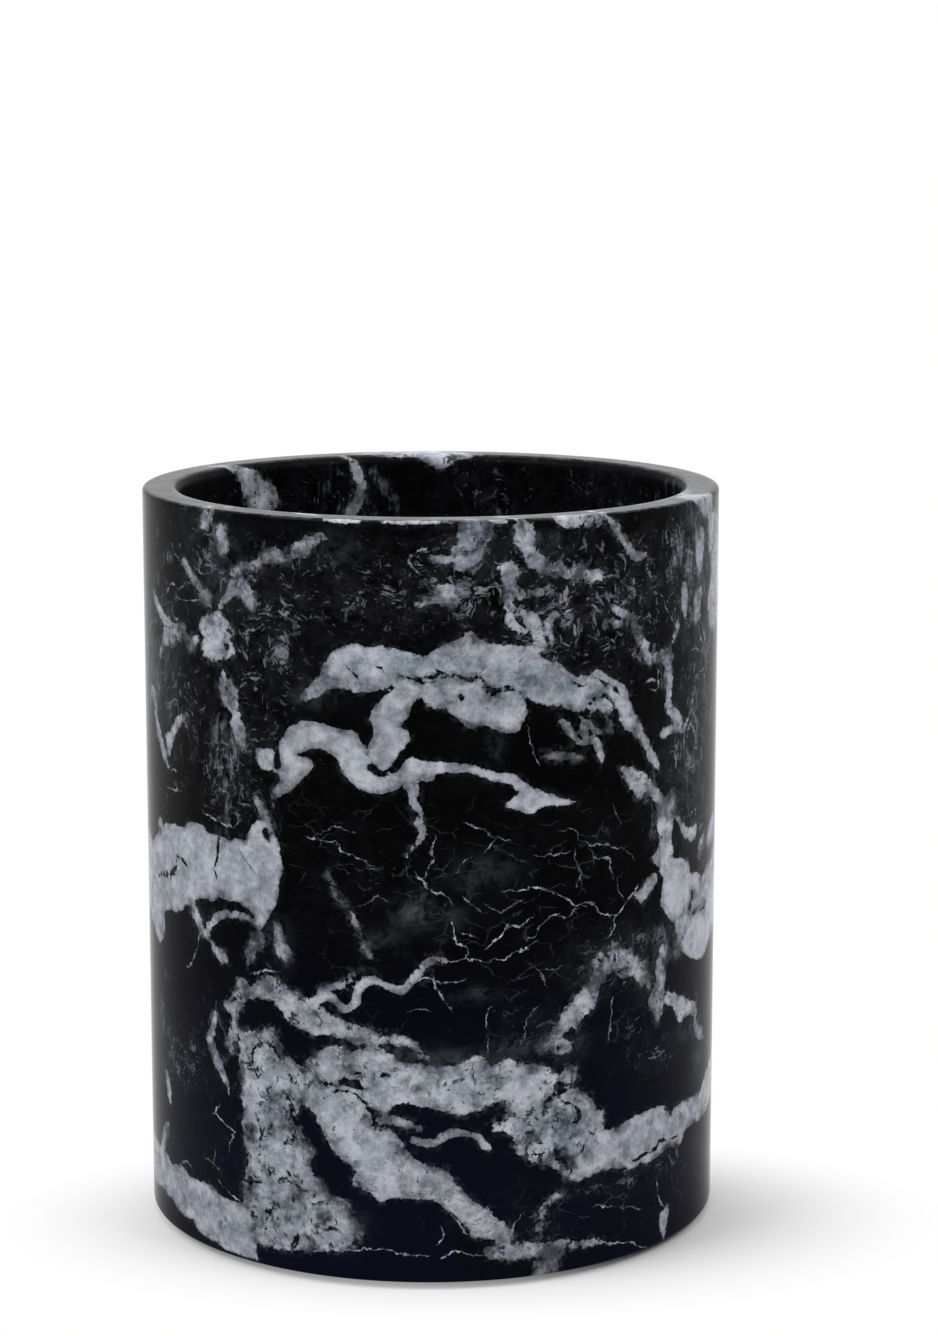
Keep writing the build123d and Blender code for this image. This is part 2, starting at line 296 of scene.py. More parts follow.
        (12.1, 96.1), (14.5, 96.6), (16.2, 95.5), (15.8, 93.7), (16.3, 92.8), (14.6, 91.4), (14.4, 89.7),
        (14.8, 88.6), (13.9, 90), (13.9, 92.2), (13, 93.8), (13.2, 95)]),
    ("top_drop", 0.6, 0.8, [
        (16.4, 90.3), (17.5, 90.2), (19.8, 89.8), (20, 88), (20.6, 86.4), (19.2, 86.2), (18.6, 87.5),
        (17.6, 88.9), (16.8, 89.6)]),
    ("top_cloud", 0.3, 0.9, [
        (4.6, 102.4), (7, 102.6), (10.5, 102.4), (11.3, 100.8), (10.6, 98.8), (9.4, 97.2), (7.8, 96.2),
        (6, 95.6), (4.4, 95.8), (5.2, 97.2), (4, 98.4), (5.2, 100.3)]),
    ("rim_ledge", 0.48, 0.95, [
        (23.5, 101.4), (25, 102.4), (30, 102.6), (34.8, 102), (33.5, 100.9), (30, 100.5), (26.5, 100.7)]),
    ("top_speckle", 0.42, 0.9, [
        (0.5, 92.4), (1.6, 93.7), (3.2, 94), (4.6, 93.4), (5.6, 94.1), (7, 93.6), (6.6, 92.4), (5, 91.6),
        (4.6, 90.9), (2.8, 91.1), (1, 91.6)]),
    ("left_streak", 0.5, 0.8, [
        (-41, 94), (-37.9, 95.4), (-35.2, 95.8), (-32.5, 97.3), (-30.3, 97.6), (-28.5, 97.2),
        (-26.7, 97.9), (-24.2, 99.2), (-21.9, 99.7), (-20.1, 100), (-19.9, 99.3), (-21.5, 98.4),
        (-23.7, 97.5), (-25.5, 96.8), (-28.5, 96.1), (-31.6, 95.8), (-34.3, 94.8), (-37.5, 94.5),
        (-39.7, 93.6)]),
    ("streak_patch", 0.55, 0.8, [
        (-41, 92.6), (-39.7, 93.6), (-37.5, 93.6), (-36.3, 92.6), (-35.2, 91.7), (-35.2, 89.5),
        (-35.9, 88.9), (-37.5, 90.4), (-39.7, 91.4)]),
    ("left_blob", 0.56, 0.9, [
        (-49.5, 87), (-47.8, 87.9), (-44.6, 88.6), (-42.4, 87.9), (-40.6, 86.7), (-40.6, 85.8),
        (-41.5, 85), (-39.9, 83.6), (-41.5, 82.6), (-44.2, 82), (-47.3, 81.8), (-49.1, 83.3),
        (-48.7, 85.1), (-50, 85.8)]),
    ("blob_cap", 0.45, 0.8, [(-49.6, 91), (-47.5, 91), (-46, 89.9), (-47, 89), (-49, 89.2), (-49.8, 90)]),
    ("left_root", 0.56, 0.75, [
        (-44.2, 80.1), (-42.8, 80.8), (-42.8, 78.9), (-41.5, 77.3), (-39.5, 77), (-39, 75.1),
        (-37.7, 73.3), (-37.2, 71.4), (-37.7, 70.3), (-39.5, 70.8), (-40.4, 72.6), (-41.5, 74.2),
        (-40.8, 75.1), (-43.3, 76.4), (-44.4, 77.6)]),
    ("root_side", 0.42, 0.6, [
        (-42.5, 79.7), (-41, 79.6), (-39.6, 78.2), (-39.4, 77.5), (-40.8, 77.6), (-42.1, 78.5)]),
    ("square_chip", 0.62, 0.4, [
        (-34.9, 71.3), (-33.5, 70.9), (-31.2, 71), (-31, 69), (-31.6, 68.3), (-34.3, 68.5),
        (-34.9, 69.6)]),
    ("left_wing", 0.45, 0.8, [
        (-64, 84.3), (-61, 85), (-58, 84.6), (-56.5, 84), (-58.5, 83), (-61, 82.4), (-64, 82),
        (-66.5, 80), (-67, 80.6), (-65.5, 82.5)]),
    ("wing_tip", 0.4, 0.8, [
        (-55.8, 85), (-53.5, 84.4), (-51, 84.9), (-50.2, 85.5), (-50.8, 83.6), (-52.4, 82.4),
        (-54.2, 82.8), (-55.2, 83.8)]),
    ("left_leaf", 0.5, 0.7, [
        (-64, 69.8), (-62, 70.6), (-60, 72), (-57.5, 73.3), (-56.8, 73), (-58, 71.5), (-60.2, 69.8),
        (-61.5, 68.4), (-62.8, 67.2), (-63.8, 68.4)]),
    ("rim_patch", 0.45, 0.95, [(-49.4, 100.2), (-48, 103), (-45, 103), (-46, 100.6), (-47.8, 99)]),
    ("rim_smudge", 0.35, 0.8, [(-44.4, 99.8), (-42.2, 100), (-41.6, 97.4), (-42.6, 95.8), (-44, 97.4)]),
    # The side away from the front
    ("back_ribbon", 0.66, 0.7, [
        (93, 26), (102, 30), (112, 36), (121, 40), (132, 41), (143, 46), (153, 54), (164, 58), (176, 57),
        (186, 53), (196, 55), (204, 60), (206, 57), (199, 51), (189, 47.5), (179, 50), (168, 53),
        (159, 50), (150, 41), (141, 36.5), (130, 35), (119, 33), (109, 28), (99, 22)]),
    ("back_shoulder", 0.58, 0.85, [
        (86, 94), (94, 96), (103, 91), (110, 85), (119, 83), (127, 86), (134, 84), (130, 80), (121, 78),
        (111, 80), (103, 84), (95, 87), (88, 88)]),
    ("back_hill", 0.6, 0.9, [
        (118, -1.5), (121, 5), (127, 10), (136, 13), (144, 18), (152, 19), (158, 14), (166, 11), (171, 5),
        (173, -1.5), (160, 2), (150, 7), (140, 5), (130, 1)]),
    ("back_stair", 0.64, 0.75, [
        (206, 60), (212, 66), (220, 68), (226, 74), (233, 75), (240, 71), (246, 72), (250, 69), (243, 66),
        (236, 68), (229, 67), (222, 62), (214, 60), (209, 55)]),
    ("back_island", 0.66, 0.75, [
        (145, 73.5), (151, 76.5), (157, 79), (164, 79.4), (170, 82), (176, 81), (181, 78.6), (189, 77.6),
        (184, 75.4), (178, 75.6), (172, 77.4), (166, 75.6), (160, 74), (153, 73.6)]),
    ("back_tail", 0.64, 0.75, [
        (274, 8), (266, 9), (258, 12), (249, 13), (241, 17), (234, 23), (227, 25), (221, 30), (224, 32),
        (231, 29), (239, 27), (246, 21), (254, 18), (263, 15), (272, 13), (279, 10)]),
    ("back_crumb", 0.5, 0.9, [
        (226, 91.6), (230, 95), (236, 97.4), (240, 100.6), (242, 98), (238, 94.4), (236, 91), (231, 88)]),
    ("back_rim", 0.5, 0.85, [
        (170, 98.6), (177, 101), (183, 103.5), (190, 103.5), (195, 101), (202, 100), (197, 97.6),
        (190, 97.4), (184, 95.4), (178, 97)]),
]

# Dark stone that shows through a mass: outline
HOLLOWS = [
    [(-21, 26.9), (-18.4, 27.6), (-15, 27.9), (-13, 26.9), (-12.4, 26), (-14.5, 26.4), (-17, 26.6),
     (-20.8, 26.5)],
    [(-15.3, 29.1), (-13.4, 29), (-12.2, 28.8), (-12.6, 28.4), (-14.4, 28.1), (-15.2, 28.3)],
    [(-10.4, 28.4), (-9.6, 29.1), (-8.2, 28.8), (-8, 28.3), (-9.4, 28.2)],
    [(24, 18), (25, 17.2), (26.5, 16.5), (27.8, 16), (27.7, 14.7), (25.6, 14.9), (24, 15.8), (23.6, 17)],
    [(21.5, 23.9), (22.4, 23.8), (22.6, 22.6), (22, 21.9), (21.4, 22.6)],
    [(-42.8, 84.5), (-41.9, 84.6), (-41.6, 83.7), (-42.4, 83.4)],
    [(-42.4, 86.7), (-41.2, 86.8), (-41, 85.9), (-42, 85.7)],
    [(5, 79.6), (6, 79.4), (6, 78.8), (5, 78.7)],
    [(29.9, 76.4), (30.8, 77.3), (32, 78.1), (33.6, 78.4), (35.1, 78.1), (36.4, 77.2), (35.2, 77.5),
     (33.8, 77.9), (32.4, 77.5), (31.4, 76.8)],
    [(-38.6, 11.8), (-37.4, 12.4), (-37, 10.6), (-37.6, 9.4), (-38.4, 10)],
    [(-33.8, 8), (-32.6, 7.8), (-33, 7), (-33.9, 6)],
    [(62, 48.4), (63.6, 48), (63.2, 46.6), (62.4, 46.6)],
    [(128, 6.6), (134, 8.4), (138, 8), (134, 6)],
]

# Veins about a millimetre wide or more, and a painted highlight along the rim: name, tone, mottling, and
# (degrees, height, width) along it
BANDS = [
    ("squiggle", 0.66, 0.5, [
        (-3.6, 68.8, 1.3), (-3.4, 66.5, 1.1), (-3.3, 65.2, 0.9), (-2.1, 64, 0.8), (-2.3, 62.6, 0.9),
        (-1.4, 61.6, 0.8), (-2, 60.5, 0.7), (-3.3, 59.3, 0.5), (-4.6, 58, 0.3)]),
    ("ring", 0.6, 0.4, [
        (-49.6, 44, 0.9), (-47.8, 45.9, 1), (-44.6, 47.5, 1), (-41.5, 47.9, 0.9), (-38.4, 48, 0.7),
        (-35.7, 47.4, 0.6)]),
    ("ring_wisp", 0.38, 0.8, [(-55, 48.4, 1.4), (-53, 47, 1.6), (-51.3, 45, 1.3), (-50.3, 44.3, 0.8)]),
    ("strand", 0.6, 0.4, [
        (-46.6, 33.6, 0.8), (-47.4, 31.6, 0.9), (-48.4, 29.9, 1.3), (-47.3, 28, 1.4), (-45.3, 26, 1.3),
        (-43.7, 24.4, 0.8), (-43, 22.8, 0.4)]),
    ("lower_thread", 0.66, 0.3, [
        (-3.6, 20, 0.8), (-1.5, 19.4, 1), (0.5, 19.6, 1), (2.5, 20.4, 1), (4.5, 20.8, 0.9),
        (6.5, 20.7, 0.8), (8.5, 20.1, 0.7), (9.8, 19, 0.6), (10.9, 18.3, 0.5)]),
    ("lower_wisp", 0.45, 0.7, [(-9.8, 22.3, 0.9), (-7, 22.3, 1), (-4.5, 22, 0.9), (-2.6, 21.3, 0.6)]),
    ("rising_thread", 0.68, 0.3, [
        (-23.2, 37.4, 1.2), (-21, 38.6, 1.1), (-19.5, 38.9, 1), (-18.2, 38.2, 0.9), (-17, 37.3, 0.9),
        (-15.5, 37.5, 0.9), (-14.5, 38.5, 1), (-13.8, 40, 1.1), (-12.2, 41.2, 1.2), (-10.5, 41.3, 0.8),
        (-9, 40.9, 0.7), (-7.5, 40.5, 0.8), (-5.8, 40.2, 0.9), (-4.3, 41, 0.9), (-2.8, 42.3, 1),
        (-1.3, 43.6, 0.9), (0.5, 44.4, 0.7), (2.5, 44.2, 0.6)]),
    ("shadow_thread", 0.34, 0.6, [
        (-22, 39.2, 0.5), (-19.5, 40, 0.7), (-17.5, 40.4, 0.8), (-16, 41.4, 0.8), (-14, 42.5, 0.5)]),
    ("grain_thread", 0.32, 0.9, [
        (-20, 55.5, 0.2), (-18.5, 53.5, 0.4), (-18, 52, 0.5), (-16.5, 51.3, 0.5), (-15.5, 50.2, 0.4),
        (-14.4, 48.6, 0.5), (-13.2, 46.8, 0.6), (-12.2, 45.5, 0.5), (-11.4, 44.3, 0.3)]),
    # The rim_glint bands are not veins but a painted highlight: a thin white line along the front of the
    # rim's outer edge
    ("rim_glint_left", 1, 0.2, [(-20, 101.7, 0.2), (-17, 101.8, 0.4), (-13, 101.9, 0.2)]),
    ("rim_glint_mid", 1, 0.2, [(-9, 101.9, 0.2), (-5, 101.9, 0.4), (-1, 101.9, 0.4), (2, 101.9, 0.2)]),
    ("rim_glint_right", 1, 0.2, [(3, 101.9, 0.2), (7, 101.9, 0.5), (11, 101.9, 0.4), (14, 101.8, 0.2)]),
    ("drip_neck", 0.55, 0.75, [
        (15, 93.4, 1.4), (14.3, 91.6, 1.2), (14.9, 90.2, 0.9), (14.4, 88.9, 1.1), (15.8, 88.2, 0.9),
        (17, 87.3, 0.6)]),
    ("drop_neck", 0.55, 0.75, [(19.4, 88.6, 1.2), (20.2, 86.8, 1), (21.2, 85.9, 0.8), (22.2, 85.2, 0.5)]),
    ("top_twig", 0.5, 0.5, [(16.4, 91.8, 0.6), (18.4, 92.4, 1), (20.6, 92.4, 0.7)]),
    ("top_shelf", 0.25, 0.7, [(0, 97.2, 0.5), (2, 97, 0.9), (4.2, 97.1, 0.8)]),
    ("band_link", 0.5, 0.75, [
        (18.4, 98, 1.8), (19.4, 96.6, 1.4), (20.8, 96.3, 1.8), (22.4, 95.2, 1.3), (24.6, 95.5, 1.6),
        (26.6, 94.4, 1.1), (28.8, 94.9, 1.4), (31, 94, 1.2), (33, 94.2, 0.7)]),
    ("wedge_link", 0.55, 0.7, [
        (43.6, 66, 1.6), (46.4, 64.6, 1.3), (49, 63, 1.6), (50.6, 61.4, 1.4), (50.8, 58.6, 1.4)]),
    ("arch_leg", 0.55, 0.7, [
        (38.6, 78.2, 1.7), (40, 76, 1.5), (41.6, 74, 1.7), (44, 71.8, 1.3), (46.4, 69.6, 1.2),
        (48.6, 67.2, 0.9)]),
    ("speckle_shelf", 0.4, 0.7, [
        (-3, 91.2, 0.5), (-1, 91.6, 0.9), (1, 91.9, 0.9), (3.5, 91.3, 0.9), (4.8, 91.1, 0.4)]),
    ("right_twig", 0.58, 0.8, [
        (35.3, 101.4, 0.7), (38, 99, 1), (40, 97.5, 1), (41.5, 96.2, 1.3), (43, 95.8, 1.2),
        (44.6, 95.9, 0.6)]),
    ("shard_left", 0.5, 0.5, [
        (24.9, 75.5, 0.4), (25.8, 74.7, 0.9), (27, 73.5, 0.8), (28.4, 72.5, 0.7), (29.6, 72.1, 0.6),
        (30.8, 72, 0.4)]),
    ("shard_mid", 0.45, 0.5, [(29.5, 75.4, 0.3), (29.8, 74.4, 1), (30, 73.2, 0.9), (30.6, 72.3, 0.4)]),
    ("shard_fork", 0.5, 0.4, [
        (31, 75, 0.3), (31.9, 73.9, 0.6), (32.9, 73.3, 0.6), (34, 73.2, 0.5), (35.2, 73.6, 0.3)]),
    ("shard_wedge", 0.55, 0.4, [
        (31.6, 72.8, 0.4), (32.6, 72, 0.9), (33.2, 71, 1.1), (33.9, 69.9, 0.7), (34.3, 69.2, 0.3)]),
    ("shard_side", 0.3, 0.7, [(35.2, 75.8, 0.5), (35.7, 74.4, 0.7), (36, 72.8, 0.3)]),
    ("arch_smear", 0.12, 0.6, [(21.6, 71, 0.5), (24, 70.8, 1), (27, 70.4, 0.9), (29.4, 70.2, 0.4)]),
    ("crescent", 0.5, 0.4, [
        (22.9, 86.3, 0.5), (22.3, 87.4, 1), (22.4, 88.5, 1.1), (23.4, 89.4, 0.7), (24.2, 89.2, 0.4)]),
    ("right_leaf", 0.5, 0.4, [
        (35.8, 89.7, 0.4), (37.2, 89.2, 0.9), (38.6, 88.7, 1.1), (40.2, 88.2, 0.8), (41.6, 87.8, 0.3)]),
    ("right_lens", 0.45, 0.4, [
        (35.8, 87.2, 0.3), (37.2, 87.3, 0.8), (38.6, 87.3, 0.7), (39.3, 87.1, 0.3)]),
    ("right_feather", 0.4, 1, [
        (41.5, 87.2, 0.8), (42.8, 85.8, 1.4), (44, 84.4, 1.6), (45, 82.8, 1.5), (46.2, 81.8, 1)]),
    ("block_link", 0.4, 0.7, [
        (-35.2, 64.4, 0.8), (-33.5, 62.5, 1.1), (-32, 60.5, 0.9), (-30.5, 57.8, 0.6)]),
    ("left_river", 0.46, 0.7, [
        (-74.5, 73.5, 1.4), (-72, 75, 1.8), (-70.5, 74, 1.6), (-69.8, 71.5, 1.2), (-68, 69.5, 1.6),
        (-65.5, 67.5, 1.6), (-63.4, 65.8, 1)]),
    ("left_ridge", 0.5, 0.6, [
        (-70.5, 88.8, 0.8), (-67.5, 87.3, 1.2), (-65, 86, 1.3), (-62, 85.4, 1.1), (-58, 85.3, 0.9),
        (-55.5, 85.6, 0.6)]),
    ("left_feather", 0.42, 0.6, [(-55, 94.2, 1.3), (-52.2, 92.6, 1.2), (-49.5, 91, 0.7)]),
    ("patch_tail", 0.45, 0.6, [(-43.6, 89.4, 0.8), (-41.5, 91, 1.1), (-39.7, 91.8, 1)]),
    ("rubble_link", 0.42, 0.9, [
        (21, 31.2, 0.8), (23.6, 32.8, 1.2), (26, 34.6, 1.8), (29.4, 36.8, 2.2), (32, 38.6, 1.5),
        (34, 40.2, 1.3), (36.6, 41.8, 1.4), (39.4, 42.6, 1.6), (41.6, 41.6, 1.5), (43.6, 40.4, 1.8),
        (45.4, 39.2, 1.3), (46.8, 37.4, 0.7)]),
    ("rubble_ring", 0.42, 0.8, [
        (30.5, 38.5, 0.9), (32.5, 40, 0.9), (33.2, 41.5, 0.8), (33, 42.8, 0.7), (36, 43.2, 0.7),
        (39.5, 43, 0.9), (41, 42, 1.2), (39.3, 41.2, 1), (37, 40.6, 0.6)]),
    ("right_speckle", 0.4, 0.9, [
        (21, 6, 0.5), (21.2, 8, 0.9), (22, 9.5, 0.9), (24, 10.6, 0.9), (26, 11, 0.5)]),
    ("back_river", 0.55, 0.8, [
        (206, 98, 1.2), (203, 92, 1.6), (207, 87, 1.4), (204, 81, 1.8), (208, 75, 1.4), (212, 67, 1.2)]),
    ("back_creek", 0.58, 0.7, [
        (173, 57, 1.4), (178, 63, 1.1), (175, 68, 0.9), (180, 73, 0.7)]),
    ("back_brook", 0.56, 0.7, [
        (199, 53, 1), (204, 47, 1.3), (202, 41, 1.1), (208, 35, 1.2), (215, 32, 1), (222, 31, 0.8)]),
    ("back_spur", 0.55, 0.75, [
        (121, 80, 1), (118, 72, 1.3), (124, 66, 1.1), (121, 59, 0.9), (127, 52, 0.8), (131, 42, 0.9)]),
    ("back_link", 0.5, 0.85, [
        (276, 46, 2.4), (266, 50, 1.8), (257, 56, 1.4), (250, 63, 1.2), (246, 69, 0.9)]),
]

# Hair cracks and dark seams across the calcite: (degrees, height, width) along each
CRACKS = [
    [(-70, 49.6, 0.5), (-65, 50.2, 0.7), (-62, 50.8, 0.7), (-60.3, 52, 0.6), (-59.8, 53.4, 0.4)],
    [(-59.4, 53.6, 0.5), (-57.5, 53.4, 0.6), (-55.6, 52.8, 0.2)],
    [(-45, 57.9, 0.5), (-45.5, 55.5, 0.4), (-46.5, 53.5, 0.4), (-45.5, 52, 0.1)],
    [(-39.8, 57, 0.15), (-35.9, 54.3, 0.1)],
    [(-39.5, 27.8, 0.5), (-37, 28, 0.6), (-36.5, 30, 0.5), (-34.5, 31.2, 0.6), (-32, 31, 0.6),
     (-29.8, 29.3, 0.4)],
    [(-5.4, 81.9, 0.3), (-3, 81.4, 0.4), (-1.4, 81.1, 0.4), (0.4, 81.1, 0.2)],
    [(0.9, 82.8, 0.2), (3.1, 82.2, 0.4), (5.8, 81.8, 0.4), (7.6, 81.2, 0.5), (8.6, 82.2, 0.4),
     (9.8, 81, 0.6)],
    [(9.8, 81, 0.6), (11, 79.8, 0.7), (13, 79.9, 0.4)],
    [(-15.4, 82.6, 0.2), (-13.8, 81.5, 0.3)],
    [(-10.4, 83.1, 0.2), (-9.2, 83, 0.3), (-8.6, 82.4, 0.1)],
    [(42.4, 13.2, 0.3), (46, 13.7, 0.5), (49.6, 14.1, 0.5), (50.5, 14.8, 0.5), (54, 14.4, 0.4),
     (58.5, 14.3, 0.3)],
    [(24.8, 26.6, 0.5), (23.6, 25.2, 0.5), (22.2, 24, 0.6), (21.6, 22.4, 0.3)],
    [(25.4, 23.9, 0.3), (28, 23, 0.5), (29.4, 21.4, 0.5), (28.6, 20.4, 0.3)],
    [(31.2, 18, 0.3), (29.8, 16.4, 0.4)],
    [(-18.8, 25.9, 0.4), (-15.4, 26, 0.3), (-13.2, 25, 0.4), (-11.6, 23.6, 0.5)],
    [(27.4, 80.4, 0.2), (28.8, 79.6, 0.4), (30.4, 79.9, 0.2)],
    [(32.4, 80.6, 0.3), (34.4, 79.6, 0.4), (36.2, 79.3, 0.5), (37.8, 78.2, 0.3)],
    [(52.6, 19, 0.4), (54.4, 18.2, 0.5), (55, 17.6, 0.2)],
    [(-29, 14, 0.3), (-26.8, 12, 0.5), (-24.6, 11.6, 0.3)],
    [(-23, 7, 0.3), (-21, 6.6, 0.5), (-19, 6.9, 0.4), (-17.6, 6.4, 0.2)],
    [(-36, 21, 0.3), (-34.8, 18.6, 0.4), (-35.6, 16.4, 0.2)],
    [(-29.5, 24.8, 0.5), (-27.8, 23.4, 0.6), (-28, 21.6, 0.4)],
    [(150, 56, 0.3), (157, 54, 0.5), (163, 55, 0.3)],
    [(225, 66, 0.3), (229, 71, 0.4), (234, 72, 0.2)],
    [(104, 29, 0.3), (112, 31, 0.5), (118, 36, 0.4)],
]

